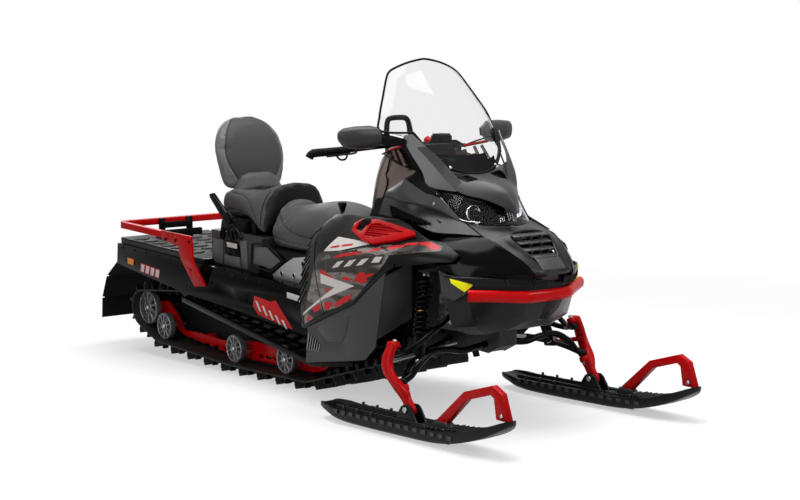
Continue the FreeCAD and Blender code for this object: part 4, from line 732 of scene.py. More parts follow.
def outward(verts, faces, hub):
    """The same sheet with its faces turned away from a point inside the machine."""
    lean = 0.0
    hub = Vector(hub)
    for face in faces:
        a, b, c = (verts[i] for i in face[:3])
        lean += (b - a).cross(c - a).dot(a - hub)
    return verts, faces if lean > 0 else [tuple(reversed(face)) for face in faces]


def welded(verts, faces):
    """The same sheet with doubled points made one and faces without area left out."""
    found, kept, index = {}, [], []
    for p in verts:
        key = tuple(round(c, 5) for c in p)
        if key not in found:
            found[key] = len(kept)
            kept.append(p)
        index.append(found[key])
    loops = [list(dict.fromkeys(index[i] for i in face)) for face in faces]
    return kept, [loop for loop in loops if len(loop) > 2]


def both_sides(verts, faces):
    """A sheet of the left side together with its mirror image."""
    count = len(verts)
    twin = [Vector((p.x, -p.y, p.z)) for p in verts]
    return verts + twin, list(faces) + [tuple(i + count for i in reversed(face)) for face in faces]


def prism(outline, low, high, axis="z"):
    """A straight-sided block; its outline lies across the axis."""
    order = {"x": (2, 0, 1), "y": (0, 2, 1), "z": (0, 1, 2)}[axis]
    count = len(outline)
    verts = [Vector([(a, b, h)[k] for k in order]) for h in (low, high) for a, b in outline]
    shape = bmesh.new()
    points = [shape.verts.new(v) for v in verts]
    shape.faces.new(points[:count])
    shape.faces.new(points[count:])
    for i in range(count):
        j = (i + 1) % count
        shape.faces.new((points[i], points[j], points[count + j], points[count + i]))
    bmesh.ops.recalc_face_normals(shape, faces=shape.faces)
    mesh = bpy.data.meshes.new("prism")
    shape.to_mesh(mesh)
    shape.free()
    return mesh


def carve(obj, *cutters):
    """Cuts blocks out of a piece and applies its modifiers."""
    tools = []
    for mesh in cutters:
        tool = bpy.data.objects.new("cutter", mesh)
        scene.collection.objects.link(tool)
        cut = obj.modifiers.new("cut", "BOOLEAN")
        cut.object = tool
        cut.solver = "EXACT"
        tools.append(tool)
    materials = list(obj.data.materials)
    mesh = baked(obj)
    mesh.materials.clear()
    for material in materials:
        mesh.materials.append(material)
    for tool in tools:
        bpy.data.objects.remove(tool)


def rounded(obj, width, angle=40, segments=2, crease=0.6):
    """Rounds the sharp edges of a finished piece and shades the rest smooth."""
    bevel = obj.modifiers.new("edge", "BEVEL")
    bevel.width = width
    bevel.segments = segments
    bevel.angle_limit = math.radians(angle)
    shade = obj.modifiers.new("shade", "NODES")
    shade.node_group = soften
    shade[soften.interface.items_tree["Angle"].identifier] = crease
    return obj


repeat = bpy.data.node_groups.new("repeated_bars", "GeometryNodeTree")
repeat.interface.new_socket("Geometry", in_out="INPUT", socket_type="NodeSocketGeometry")
for label, kind in (("Count", "NodeSocketInt"), ("Start", "NodeSocketVector"), ("Step", "NodeSocketVector"),
                    ("Size", "NodeSocketVector"), ("Growth", "NodeSocketVector"), ("Turn", "NodeSocketVector"),
                    ("Material", "NodeSocketMaterial")):
    repeat.interface.new_socket(label, in_out="INPUT", socket_type=kind)
repeat.interface.new_socket("Geometry", in_out="OUTPUT", socket_type="NodeSocketGeometry")
given = repeat.nodes.new("NodeGroupInput").outputs
line = add(repeat, "GeometryNodeMeshLine", {"Count": given["Count"], "Start Location": given["Start"],
                                            "Offset": given["Step"]}, mode="OFFSET")
index = add(repeat, "GeometryNodeInputIndex").outputs["Index"]
grown = add(repeat, "ShaderNodeVectorMath", {0: given["Growth"], "Scale": index}, operation="SCALE")
size = add(repeat, "ShaderNodeVectorMath", {0: given["Size"], 1: grown.outputs[0]}, operation="ADD")
bar = add(repeat, "GeometryNodeMeshCube", {"Size": (1, 1, 1)})
blocks = add(repeat, "GeometryNodeInstanceOnPoints", {"Points": line.outputs[0], "Instance": bar.outputs["Mesh"],
                                                      "Rotation": given["Turn"], "Scale": size.outputs[0]})
solid = add(repeat, "GeometryNodeRealizeInstances", {"Geometry": blocks.outputs[0]})
painted = add(repeat, "GeometryNodeSetMaterial", {"Geometry": solid.outputs[0], "Material": given["Material"]})
repeat.links.new(painted.outputs[0], repeat.nodes.new("NodeGroupOutput").inputs["Geometry"])


def grow(tree, inputs, base=None):
    """The plain mesh that a geometry node tree makes with the given inputs."""
    obj = bpy.data.objects.new("seed", base or bpy.data.meshes.new("seed"))
    scene.collection.objects.link(obj)
    modifier = obj.modifiers.new("grow", "NODES")
    modifier.node_group = tree
    for item in tree.interface.items_tree:
        if item.item_type == "SOCKET" and item.in_out == "INPUT" and item.name in inputs:
            modifier[item.identifier] = inputs[item.name]
    mesh = bpy.data.meshes.new_from_object(obj.evaluated_get(bpy.context.evaluated_depsgraph_get()))
    bpy.data.objects.remove(obj)
    return mesh


def joined(name, meshes, material, body="chassis", slot=None, mirror=False):
    """Several meshes as one piece, with its mirror image if asked."""
    shape = bmesh.new()
    for mesh in meshes:
        shape.from_mesh(mesh)
    if mirror:
        twin = bmesh.ops.duplicate(shape, geom=list(shape.verts) + list(shape.edges) + list(shape.faces))["geom"]
        bmesh.ops.scale(shape, vec=(1, -1, 1), verts=[g for g in twin if isinstance(g, bmesh.types.BMVert)])
        bmesh.ops.reverse_faces(shape, faces=[g for g in twin if isinstance(g, bmesh.types.BMFace)])
    mesh = bpy.data.meshes.new(name)
    shape.to_mesh(mesh)
    shape.free()
    mesh.materials.clear()
    for polygon in mesh.polygons:
        polygon.material_index = 0
    return place(name, mesh, material, body=body, slot=slot)


def bars(count, start, step, size, growth=(0, 0, 0), turn=(0, 0, 0)):
    """A mesh of bars in a row, each one step and one growth past the last."""
    return grow(repeat, {"Count": count, "Start": start, "Step": step, "Size": size, "Growth": growth, "Turn": turn})


visor_grey = finish("visor_grey", (0.05, 0.05, 0.051), 0.34, gloss=0.25, scale=650, depth=0.12)
satin_black = finish("satin_black", (0.003, 0.003, 0.0035), 0.38, gloss=0.08, scale=650, depth=0.22)
hood_black = finish("hood_black", (0.011, 0.011, 0.0115), 0.3, gloss=0.22, scale=900, depth=0.03)
grille_grey = finish("grille_grey", (0.05, 0.05, 0.051), 0.3, gloss=0.4, scale=650, depth=0.08)
hood_rows = [whole(row) for row in (
    ((1.172, 0, 0.777), (1.155, 0.06, 0.779), (1.1, 0.14, 0.786), (1.079, 0.165, 0.786)),
    ((1.224, 0, 0.766), (1.216, 0.078, 0.762), (1.196, 0.13, 0.753), (1.18, 0.172, 0.747)),
    ((1.264, 0, 0.744), (1.258, 0.104, 0.736), (1.25, 0.128, 0.73), (1.24, 0.158, 0.724)),
    ((1.34, 0, 0.672), (1.334, 0.07, 0.67), (1.336, 0.092, 0.668), (1.34, 0.12, 0.662)),
    ((1.39, 0, 0.624), (1.389, 0.06, 0.623), (1.388, 0.076, 0.622), (1.38, 0.1, 0.618)),
    ((1.382, 0, 0.604), (1.38, 0.055, 0.604), (1.377, 0.072, 0.604), (1.37, 0.094, 0.604)),
    ((1.366, 0, 0.593), (1.364, 0.05, 0.593), (1.362, 0.07, 0.595), (1.358, 0.09, 0.599)),
)]
hood_rows = [row[:2] + row[1:6] + row[5:] for row in hood_rows]
hood = sheet("nose_centre", *outward(*welded(*grid_mesh(hood_rows, 5, 3)), (1.1, 0, 0.5)), 0.006, hood_black,
             slot="black_plastic")
mouth = [(1.226, -0.07), (1.234, -0.084), (1.25, -0.098), (1.262, -0.096), (1.33, -0.068), (1.338, -0.056),
         (1.338, 0.056), (1.33, 0.068), (1.262, 0.096), (1.25, 0.098), (1.234, 0.084), (1.226, 0.07)]
carve(hood, prism(mouth, 0.6, 0.8))
rounded(hood, 0.0016, 50)
slats = bars(4, (1.244, 0, 0.748), (0.0262, 0, -0.0252), (0.03, 0.178, 0.0055), (0, -0.013, 0), (0, 0.3, 0))
posts = [bars(1, (x, y, z - 0.004), (0, 0, 0), (0.01, 0.006, 0.026), turn=(0, 0.6, 0))
         for x, z, row in ((1.257, 0.74, (-0.052, 0.0, 0.052)), (1.283, 0.715, (-0.028, 0.028)),
                           (1.309, 0.69, (-0.045, 0.0, 0.045))) for y in row]
grille = joined("nose_slats", [slats] + posts, grille_grey, slot="black_plastic")
rounded(grille, 0.0008, 30)
strand("grille_rim", [[(x + 0.001, y, z) for x, y, z in (
    (1.262, -0.1, 0.727), (1.3, -0.083, 0.697), (1.334, -0.066, 0.672), (1.344, -0.05, 0.667), (1.345, 0, 0.668),
    (1.344, 0.05, 0.667), (1.334, 0.066, 0.672), (1.3, 0.083, 0.697), (1.262, 0.1, 0.727))]], 0.0035, visor_grey,
    slot="black_plastic")
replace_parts(hood, "hood")
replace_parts(grille, "hood")

fender_rows = [
    [(1.043, 0.234, 0.751), (1.031, 0.27, 0.732), (1.048, 0.306, 0.696), (1.064, 0.318, 0.612)],
    [(1.18, 0.177, 0.747), (1.141, 0.241, 0.719), (1.164, 0.272, 0.665), (1.18, 0.288, 0.602)],
    [(1.24, 0.163, 0.724), (1.235, 0.205, 0.682), (1.247, 0.225, 0.638), (1.251, 0.228, 0.6)],
    [(1.34, 0.125, 0.662), (1.333, 0.149, 0.643), (1.332, 0.155, 0.618), (1.33, 0.155, 0.597)],
    [(1.38, 0.105, 0.618), (1.382, 0.105, 0.614), (1.381, 0.106, 0.604), (1.372, 0.105, 0.596)],
]
fender = sheet("nose_fenders_gloss", *both_sides(*outward(*grid_mesh(fender_rows, 5, 4), (1.1, 0, 0.6))), 0.004,
               gloss_black, edge=0.001, slot="gloss_black")
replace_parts(fender, "nose_fenders")

visor_rows = [whole(row) for row in (
    ((0.948, 0, 0.972), (0.936, 0.07, 0.978), (0.918, 0.14, 0.996), (0.908, 0.208, 1.022)),
    ((1.056, 0, 0.95), (1.04, 0.062, 0.948), (1.012, 0.12, 0.936), (1.003, 0.158, 0.917)),
    ((1.128, 0, 0.912), (1.118, 0.038, 0.908), (1.094, 0.076, 0.894), (1.086, 0.091, 0.884)),
    ((1.162, 0, 0.868), (1.154, 0.016, 0.868), (1.142, 0.036, 0.862), (1.134, 0.048, 0.858)),
    ((1.172, 0, 0.836), (1.168, 0.008, 0.836), (1.16, 0.014, 0.834), (1.152, 0.02, 0.832)),
)]
visor = sheet("visor", *outward(*grid_mesh(visor_rows, 6, 4), (0.9, 0, 0.8)), 0.006, visor_grey, slot="dark_plastic")
pocket = sheet("scoop_floors", *outward(*grid_mesh(
    [[(x - 0.004, y * 0.92, z - 0.016) for x, y, z in row] for row in visor_rows[:3]], 4, 3), (0.9, 0, 0.8)), 0.004,
    satin_black, slot="black_plastic")
scoop = [(0.944, 0.062), (1.0, 0.05), (1.018, 0.062), (1.006, 0.108), (0.96, 0.132), (0.934, 0.128)]
carve(visor, prism(scoop, 0.9, 1.02), prism([(x, -y) for x, y in scoop], 0.9, 1.02))
rounded(visor, 0.0014, 50)
blade_rows = [
    [(0.818, 0.232, 1.138), (0.792, 0.252, 1.134), (0.792, 0.252, 1.134), (0.786, 0.256, 1.12)],
    [(0.87, 0.206, 1.09), (0.846, 0.234, 1.086), (0.846, 0.234, 1.086), (0.834, 0.25, 1.056)],
    [(0.922, 0.178, 1.04), (0.9, 0.214, 1.034), (0.9, 0.214, 1.034), (0.886, 0.239, 0.99)],
    [(0.962, 0.146, 0.986), (0.962, 0.19, 0.966), (0.962, 0.19, 0.966), (0.92, 0.233, 0.934)],
    [(1.002, 0.118, 0.938), (1.003, 0.158, 0.916), (1.003, 0.158, 0.916), (0.999, 0.164, 0.914)],
]
blade_grey = finish("blade_grey", (0.16, 0.16, 0.162), 0.32, gloss=0.25, scale=650, depth=0.08)
verts, faces = welded(*grid_mesh(blade_rows, 4, 4))
blades = sheet("visor_blades", *both_sides(*outward(verts, faces, (0.85, 0, 0.95))), 0.005, visor_grey, blade_grey,
               edge=0.0012, slot="dark_plastic")
for polygon in blades.data.polygons:
    outer = polygon.normal.y * polygon.center.y > 0.62 * abs(polygon.center.y)
    polygon.material_index = 1 if outer else 0
for piece in (visor, blades, pocket):
    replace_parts(piece, "cowl")

box_side = [(0.7, 0.64), (1.03, 0.64), (1.09, 0.7), (1.06, 0.762), (1.0, 0.79), (0.95, 0.88), (0.9, 0.93),
            (0.7, 0.93)]
nose_side = [(1.04, 0.585), (1.34, 0.585), (1.372, 0.604), (1.356, 0.626), (1.3, 0.668), (1.21, 0.728), (1.04, 0.745)]
air_box = joined("air_box", [prism(box_side, -0.165, 0.165, "y"), prism(nose_side, -0.095, 0.095, "y")], satin_black,
                 slot="black_plastic")
rounded(air_box, 0.006, 20, 2)

# Headlamps: clear moulded wedge lenses over a black housing with a chrome bowl, a projector and
# chrome fins, screwed into the air box behind them.

lens_rows = [
    [(0.937, 0.211, 0.913), (0.937, 0.211, 0.905)],
    [(0.986, 0.166, 0.902), (0.982, 0.177, 0.845)],
    [(1.044, 0.121, 0.885), (1.046, 0.17, 0.796)],
    [(1.084, 0.084, 0.865), (1.114, 0.124, 0.785)],
    [(1.114, 0.044, 0.84), (1.15, 0.058, 0.7796)],
    [(1.136, 0.003, 0.814), (1.164, 0.003, 0.7778)],
]
inner_rows = [[(x - 0.042, y * 0.8, z - 0.002 if z > 0.85 else z + 0.004) for x, y, z in row] for row in lens_rows]


def clear_glass(name, tint):
    """Clear moulded plastic: transmits, with a faint waviness."""
    mat = bpy.data.materials.new(name)
    mat.use_nodes = True
    shader = mat.node_tree.nodes["Principled BSDF"]
    shader.inputs["Base Color"].default_value = (*tint, 1)
    shader.inputs["Transmission Weight"].default_value = 1.0
    shader.inputs["IOR"].default_value = 1.2
    film = add(mat.node_tree, "ShaderNodeTexNoise", {
        "Vector": add(mat.node_tree, "ShaderNodeTexCoord").outputs["Object"], "Scale": 14.0, "Detail": 2.0})
    smear = add(mat.node_tree, "ShaderNodeMapRange", {"Value": film.outputs["Fac"], "To Min": 0.0, "To Max": 0.05})
    mat.node_tree.links.new(smear.outputs[0], shader.inputs["Roughness"])
    return mat


lens_clear = clear_glass("lens_clear", (0.93, 0.94, 0.95))
lens = sheet("lamp_lenses", *both_sides(*outward(*grid_mesh(lens_rows, 5, 6), (0.95, 0, 0.82))), 0.003, lens_clear,
             slot="clear_screen")
housing = sheet("lamp_housings", *both_sides(*outward(*grid_mesh(inner_rows, 5, 6), (0.85, 0, 0.82))), 0.003,
                gloss_black, slot="gloss_black")


def turned(profile, place_at, aim, parts=32):
    """A lathe-turned form: radius and height pairs along an axis, set at a place."""
    shape = bmesh.new()
    loops = []
    for radius, height in profile:
        loops.append([shape.verts.new((radius * math.cos(2 * math.pi * i / parts),
                                       radius * math.sin(2 * math.pi * i / parts), height)) for i in range(parts)])
    for near, far in zip(loops, loops[1:]):
        for i in range(parts):
            j = (i + 1) % parts
            shape.faces.new((near[i], near[j], far[j], far[i]))
    for loop in (loops[0], loops[-1]):
        hub = shape.verts.new(sum((v.co for v in loop), Vector()) / parts)
        for i in range(parts):
            shape.faces.new((loop[i], loop[(i + 1) % parts], hub))
    bmesh.ops.recalc_face_normals(shape, faces=shape.faces)
    turn = Vector(aim).to_track_quat("Z", "Y").to_matrix().to_4x4()
    bmesh.ops.transform(shape, matrix=Matrix.Translation(Vector(place_at)) @ turn, verts=shape.verts)
    mesh = bpy.data.meshes.new("turned")
    shape.to_mesh(mesh)
    shape.free()
    for polygon in mesh.polygons:
        polygon.use_smooth = True
    return mesh


chrome = finish("chrome", (0.8, 0.8, 0.82), 0.12, metallic=1.0, scale=60, depth=0.02, spread=0.03)
bowl = [(0.004, -0.016), (0.016, -0.012), (0.026, -0.002), (0.031, 0.012), (0.033, 0.012), (0.03, -0.006),
        (0.016, -0.018), (0.004, -0.02)]
eye = [(0.03, -0.02), (0.033, 0.0), (0.033, 0.012), (0.029, 0.014), (0.027, 0.01), (0.027, -0.02)]
lens_ball = [(0.026, 0.004), (0.022, 0.014), (0.014, 0.021), (0.006, 0.024)]
chrome_parts = [turned(bowl, (1.038, 0.112, 0.826), (1, 0.1, 0.1)),
                bars(3, (1.1, 0.01, 0.806), (0.001, 0.011, -0.001), (0.026, 0.0016, 0.034), (0, 0, 0), (0, -0.3, 0.1))]
reflectors = joined("lamp_reflectors", chrome_parts, chrome, slot="lamp_chrome", mirror=True)
projectors = joined("lamp_projectors", [turned(lens_ball, (1.066, 0.06, 0.816), (1, 0.1, 0.05)),
                                        turned(eye, (1.066, 0.06, 0.816), (1, 0.1, 0.05))], gloss_black,
                    slot="gloss_black", mirror=True)
chrome_line = strand("lamp_lines", [[(x - 0.012, s * y, z + 0.006) for x, y, z in (
    (0.945, 0.206, 0.9), (0.984, 0.176, 0.848), (1.046, 0.168, 0.8), (1.11, 0.124, 0.789))] for s in (-1, 1)],
    0.0016, chrome, slot="lamp_chrome")
for piece in (lens, housing, reflectors, projectors, chrome_line):
    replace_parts(piece, "headlamps")

# Cowl sides: a moulded shoulder with a vent of diamond mesh, and a folded plate above it that
# runs from the column cover to the lamp.

shoulder_rows = [
    [(0.64, 0.236, 0.88), (0.636, 0.25, 0.85), (0.64, 0.268, 0.812)],
    [(0.72, 0.26, 0.876), (0.72, 0.266, 0.845), (0.722, 0.277, 0.806)],
    [(0.806, 0.276, 0.868), (0.8, 0.276, 0.842), (0.806, 0.284, 0.803)],
    [(0.88, 0.243, 0.854), (0.882, 0.258, 0.826), (0.896, 0.278, 0.785)],
    [(0.954, 0.203, 0.836), (0.964, 0.221, 0.804), (0.985, 0.266, 0.761)],
    [(1.01, 0.189, 0.814), (1.023, 0.199, 0.796), (1.08, 0.225, 0.757)],
    [(1.066, 0.175, 0.793), (1.082, 0.1775, 0.788), (1.168, 0.184, 0.753)],
]
steel = finish("steel", (0.5, 0.5, 0.51), 0.34, metallic=1.0, scale=900, depth=0.15)
shoulder_grey = finish("shoulder_black", (0.02, 0.02, 0.0205), 0.28, gloss=0.25, scale=900, depth=0.04)
verts, faces = grid_mesh(shoulder_rows, 3, 4)
shoulder_skin = skin_tree(verts, faces)
shoulders = sheet("cowl_shoulders", *both_sides(*outward(verts, faces, (0.8, 0, 0.8))), 0.005, shoulder_grey,
                  slot="black_plastic")
vent_line = [(0.702, 0.85), (0.76, 0.846), (0.86, 0.82), (0.958, 0.788), (0.93, 0.781), (0.85, 0.79), (0.735, 0.806)]
carve(shoulders, prism(vent_line, -0.35, 0.35, "y"))
rounded(shoulders, 0.0012, 50)
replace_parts(shoulders, "cowl_sides")
plate_rows = [
    [(0.695, 0.233, 0.926), (0.666, 0.25, 0.902), (0.64, 0.24, 0.882)],
    [(0.8, 0.262, 0.962), (0.785, 0.283, 0.9), (0.8, 0.279, 0.871)],
    [(0.8, 0.262, 0.962), (0.785, 0.283, 0.9), (0.8, 0.279, 0.871)],
    [(0.905, 0.237, 0.905), (0.897, 0.263, 0.868), (0.9, 0.24, 0.85)],
    [(0.905, 0.237, 0.905), (0.897, 0.263, 0.868), (0.9, 0.24, 0.85)],
    [(0.954, 0.2, 0.886), (0.968, 0.216, 0.846), (0.964, 0.206, 0.83)],
    [(1.034, 0.175, 0.812), (1.044, 0.18, 0.802), (1.056, 0.179, 0.794)],
]
plates = sheet("cowl_plates", *both_sides(*outward(*grid_mesh(plate_rows, 2, 3), (0.8, 0, 0.85))), 0.004, visor_grey,
               edge=0.001, slot="dark_plastic")
web_rows = [
    [(0.69, 0.222, 0.93), (0.7, 0.225, 0.905)],
    [(0.86, 0.214, 1.0), (0.8, 0.25, 0.955)],
    [(0.9, 0.214, 0.965), (0.89, 0.236, 0.91)],
    [(0.94, 0.205, 0.915), (0.95, 0.196, 0.88)],
]
webs = sheet("cowl_webs", *both_sides(*outward(*grid_mesh(web_rows, 2, 2), (0.8, 0, 0.9))), 0.004, satin_black,
             slot="black_plastic")


def crossed(low, high, slope, pitch, skin, inset):
    """Diagonal lines both ways over a skin, a little behind its surface."""
    lines = []
    for lean in (slope, -slope):
        start = low[0] - abs(lean) * (high[1] - low[1])
        for i in range(int((high[0] - start) / pitch) + 1):
            line = []
            for j in range(7):
                z = low[1] + (high[1] - low[1]) * j / 6
                x = start + pitch * i + lean * (z - low[1]) + (abs(lean) * (high[1] - low[1]) if lean < 0 else 0)
                hit = skin.ray_cast(Vector((x, 1, z)), Vector((0, -1, 0)))[0]
                if hit:
                    line.append((x, hit.y - inset, z))
            if len(line) > 1:
                lines += [line, [(x, -y, z) for x, y, z in line]]
    return lines


mesh_wire = strand("vent_mesh", crossed((0.7, 0.78), (0.955, 0.85), 1.7, 0.019, shoulder_skin, 0.008), 0.0016,
                   satin_black, steps=1, slot="black_plastic")
vent_back = joined("vent_backs", [prism([(0.65, 0.872), (0.8, 0.862), (0.98, 0.796), (0.95, 0.762), (0.67, 0.785)],
                                        0.12, 0.228, "y")], satin_black, slot="black_plastic", mirror=True)
for piece in (plates, webs, mesh_wire, vent_back):
    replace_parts(piece, "cowl_sides")
joined("cowl_bolts", [turned([(0.0065, 0), (0.0065, 0.003), (0.0045, 0.0045), (0.002, 0.0035)], spot, aim, 12)
                      for spot, aim in (((1.088, 0.131, 0.789), (0.3, 0.1, 1)), ((0.938, 0.226, 0.866),
                                                                                (0.2, 1, 0.4)))],
       steel, slot="steel", mirror=True)

# Belly and bumper: a faceted black tub under the nose, a ribbed strip on its shoulder, yellow
# reflectors on small side plates and a bent flat-oval steel tube in front.

belly_rows = [
    [(1.12, 0.322, 0.602), (1.125, 0.326, 0.51), (1.13, 0.3, 0.4), (1.12, 0.21, 0.362), (1.12, 0.0, 0.362)],
    [(1.2, 0.276, 0.6), (1.206, 0.28, 0.505), (1.2, 0.246, 0.408), (1.175, 0.17, 0.367), (1.175, 0.0, 0.367)],
    [(1.284, 0.176, 0.592), (1.29, 0.18, 0.502), (1.262, 0.165, 0.428), (1.24, 0.115, 0.384), (1.24, 0.0, 0.384)],
    [(1.336, 0.096, 0.586), (1.34, 0.098, 0.504), (1.308, 0.088, 0.45), (1.285, 0.06, 0.414), (1.285, 0.0, 0.414)],
    [(1.348, 0.0, 0.584), (1.352, 0.0, 0.504), (1.32, 0.0, 0.452), (1.3, 0.0, 0.422), (1.3, 0.0, 0.42)],
]
belly_black = finish("belly_black", (0.009, 0.009, 0.0095), 0.28, gloss=0.25, scale=650, depth=0.12)
verts, faces = grid_mesh([[p for p in row for _ in (0, 1)] for row in belly_rows for _ in (0, 1)], 2, 2)
shape = bmesh.new()
points = [shape.verts.new(v) for v in both_sides(verts, faces)[0]]
for face in both_sides(*outward(verts, faces, (1.1, 0, 0.5)))[1]:
    if len({tuple(round(c, 5) for c in points[i].co) for i in face}) > 2:
        shape.faces.new([points[i] for i in face])
bmesh.ops.remove_doubles(shape, verts=shape.verts, dist=1e-4)
mesh = bpy.data.meshes.new("belly")
shape.to_mesh(mesh)
shape.free()
belly = place("belly_tub", mesh, belly_black, slot="black_plastic")
wall = belly.modifiers.new("wall", "SOLIDIFY")
wall.thickness = 0.005
wall.offset = -1
rounded(belly, 0.003, 10, 2, 0.3)
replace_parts(belly, "belly_pan")
rim_points = [(1.1, 0.334, 0.6), (1.206, 0.281, 0.598), (1.29, 0.185, 0.59), (1.342, 0.1, 0.584), (1.356, 0, 0.582)]
strand("belly_ledge", [rim_points + [(x, -y, z) for x, y, z in reversed(rim_points[:-1])]],
       0.0055, belly_black, steps=4, slot="black_plastic")
rib_runs = []
for s in (-1, 1):
    rib_runs.append(bars(9, (1.236, s * 0.268, 0.584), (0.0083, -s * 0.0096, -0.0004), (0.004, 0.02, 0.03),
                         turn=(0.5, 0, s * 0.86)))
    rib_runs.append(bars(10, (1.313, s * 0.176, 0.58), (0.0052, -s * 0.0112, -0.0002), (0.004, 0.02, 0.03),
                         turn=(0.5, 0, s * 1.1)))
joined("belly_ribs", rib_runs, belly_black, slot="black_plastic")


def one_face(points, side):
    """A flat plate of one face on a side, with its front outwards."""
    loop = tuple(range(len(points)))
    return [Vector((x, side * y, z)) for x, y, z in points], [loop if side > 0 else loop[::-1]]


panel_grey = finish("panel_grey", (0.042, 0.042, 0.043), 0.38, gloss=0.3, scale=600, depth=0.22)
wing_line = ((1.098, 0.338, 0.622), (1.172, 0.335, 0.606), (1.218, 0.262, 0.574), (1.204, 0.296, 0.536),
             (1.172, 0.328, 0.512), (1.116, 0.338, 0.53))
for s in (-1, 1):
    sheet("reflector_plate", *one_face(wing_line, s), 0.006, panel_grey, edge=0.0015, slot="grey_plastic")
yellow = finish("yellow_reflector", (0.95, 0.93, 0.0), 0.25, gloss=0.3, coat=0.3, scale=500, depth=0.35, drifting=0.05)
# Painted light: a faint yellow emission makes the reflector glow, though it is no lamp.
reflector_painted_glow = yellow.node_tree.nodes["Principled BSDF"].inputs
reflector_painted_glow["Emission Color"].default_value = (1.0, 0.95, 0.0, 1)
reflector_painted_glow["Emission Strength"].default_value = 0.18
reflector_line = ((1.17, 0.343, 0.6), (1.217, 0.262, 0.572), (1.206, 0.3, 0.547), (1.169, 0.336, 0.582))
for s in (-1, 1):
    sheet("reflector", *one_face(reflector_line, s), 0.004, yellow, edge=0.001, slot="lamp_chrome")


def oval_tube(name, path, wide, tall, material, **where):
    """A flat-oval tube bent along a level line, closed at both ends."""
    run = curved([Vector(p) for p in path], 6)
    rings = []
    for i, p in enumerate(run):
        ahead = (run[min(i + 1, len(run) - 1)] - run[max(i - 1, 0)]).normalized()
        out = Vector((0, 0, 1)).cross(ahead).normalized()
        rings.append([p + out * (wide / 2 * math.cos(a)) + Vector((0, 0, tall / 2 * math.copysign(
            abs(math.sin(a)) ** 0.75, math.sin(a)))) for a in (2 * math.pi * j / 24 for j in range(24))])
    for end, k in ((0, 1), (-1, -1)):
        hub = sum(rings[end], Vector()) / 24
        cap = [hub + (p - hub) * 0.72 for p in rings[end]]
        rings.insert(0, cap) if k == 1 else rings.append(cap)
    obj = place(name, loft_mesh(name, rings), material, **where)
    obj.modifiers.new("shade", "NODES").node_group = soften
    return obj


bar_line = [(1.222, 0.296, 0.533), (1.268, 0.228, 0.53), (1.3, 0.18, 0.527), (1.33, 0.138, 0.5245),
            (1.35, 0.106, 0.523), (1.357, 0.07, 0.523)]
bumper_red = finish("bumper_red", (0.72, 0.002, 0.003), 0.24, gloss=0.14, coat=0.12, scale=600, depth=0.06)
bumper = oval_tube("nose_bar", bar_line + [(1.362, 0, 0.523)] + [(x, -y, z) for x, y, z in reversed(bar_line)],
                   0.034, 0.047, bumper_red, slot="red_gloss")
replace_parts(bumper, "front_bumper")
sheet("chin", *outward([Vector(p) for p in (
    (1.358, -0.078, 0.615), (1.376, -0.05, 0.612), (1.3915, 0, 0.612), (1.376, 0.05, 0.612), (1.358, 0.078, 0.615),
    (1.352, -0.07, 0.592), (1.366, -0.03, 0.584), (1.37, 0, 0.58), (1.366, 0.03, 0.584), (1.352, 0.07, 0.592))],
    [(0, 1, 6, 5), (1, 2, 7, 6), (2, 3, 8, 7), (3, 4, 9, 8)], (1.2, 0, 0.6)), 0.006, visor_grey, edge=0.0015,
    slot="dark_plastic")
sheet("grille_apron", *outward([Vector(p) for p in (
    (1.342, -0.062, 0.6725), (1.344, 0, 0.673), (1.342, 0.062, 0.6725), (1.388, -0.062, 0.6275), (1.3925, 0, 0.627),
    (1.388, 0.062, 0.6275), (1.392, -0.05, 0.606), (1.394, 0, 0.604), (1.392, 0.05, 0.606))],
    [(0, 1, 4, 3), (1, 2, 5, 4), (3, 4, 7, 6), (4, 5, 8, 7)], (1.2, 0, 0.6)), 0.003, visor_grey, edge=0.001,
    slot="dark_plastic")

# Inside the body: a sheet bulkhead, the engine as one cast block, the welded tube frame over it and
# the moulded console ahead of the saddle.
engine_grey = finish("engine_grey", (0.03, 0.03, 0.032), 0.5, metallic=0.4, scale=120, depth=0.5)
tube_black = finish("tube_black", (0.003, 0.003, 0.0035), 0.28, gloss=0.12, coat=0.0, scale=700, depth=0.08)
for name, material in (("engine", engine_grey), ("frame_tubes", tube_black), ("console", satin_black),
                       ("bulkhead", panel_grey)):
    dress(name, material)


# Windshield: one clear polycarbonate sheet, heat-bent, black at its foot. A rubber trim is pushed over
# its edge, a gasket seals it on the visor and four screws hold it.

screen_rows = [whole(row) for row in (
    ((0.943, 0, 0.973), (0.934, 0.064, 0.979), (0.912, 0.126, 1.003), (0.868, 0.186, 1.068), (0.8, 0.216, 1.142)),
    ((0.866, 0, 1.1), (0.86, 0.076, 1.104), (0.838, 0.152, 1.112), (0.791, 0.233, 1.13), (0.699, 0.298, 1.15)),
    ((0.792, 0, 1.2), (0.787, 0.078, 1.2), (0.769, 0.154, 1.2), (0.732, 0.226, 1.203), (0.676, 0.285, 1.208)),
    ((0.72, 0, 1.295), (0.715, 0.07, 1.295), (0.701, 0.138, 1.293), (0.677, 0.198, 1.29), (0.645, 0.242, 1.286)),
    ((0.652, 0, 1.375), (0.65, 0.056, 1.374), (0.643, 0.11, 1.371), (0.632, 0.158, 1.367), (0.614, 0.198, 1.36)),
    ((0.612, 0, 1.434), (0.611, 0.046, 1.428), (0.61, 0.088, 1.419), (0.607, 0.132, 1.405), (0.604, 0.172, 1.387)),
)]
glass = clear_glass("screen_clear", (0.86, 0.855, 0.86))
verts, faces = outward(*grid_mesh(screen_rows, 5, 4), (0.5, 0, 1.0))
screen = sheet("windshield_sheet", verts, faces, 0.004, glass, slot="clear_screen")
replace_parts(screen, "windshield")
foot_faces = [f for f in faces if max(verts[i].z + abs(verts[i].y) * 0.06 for i in f) < 1.058]
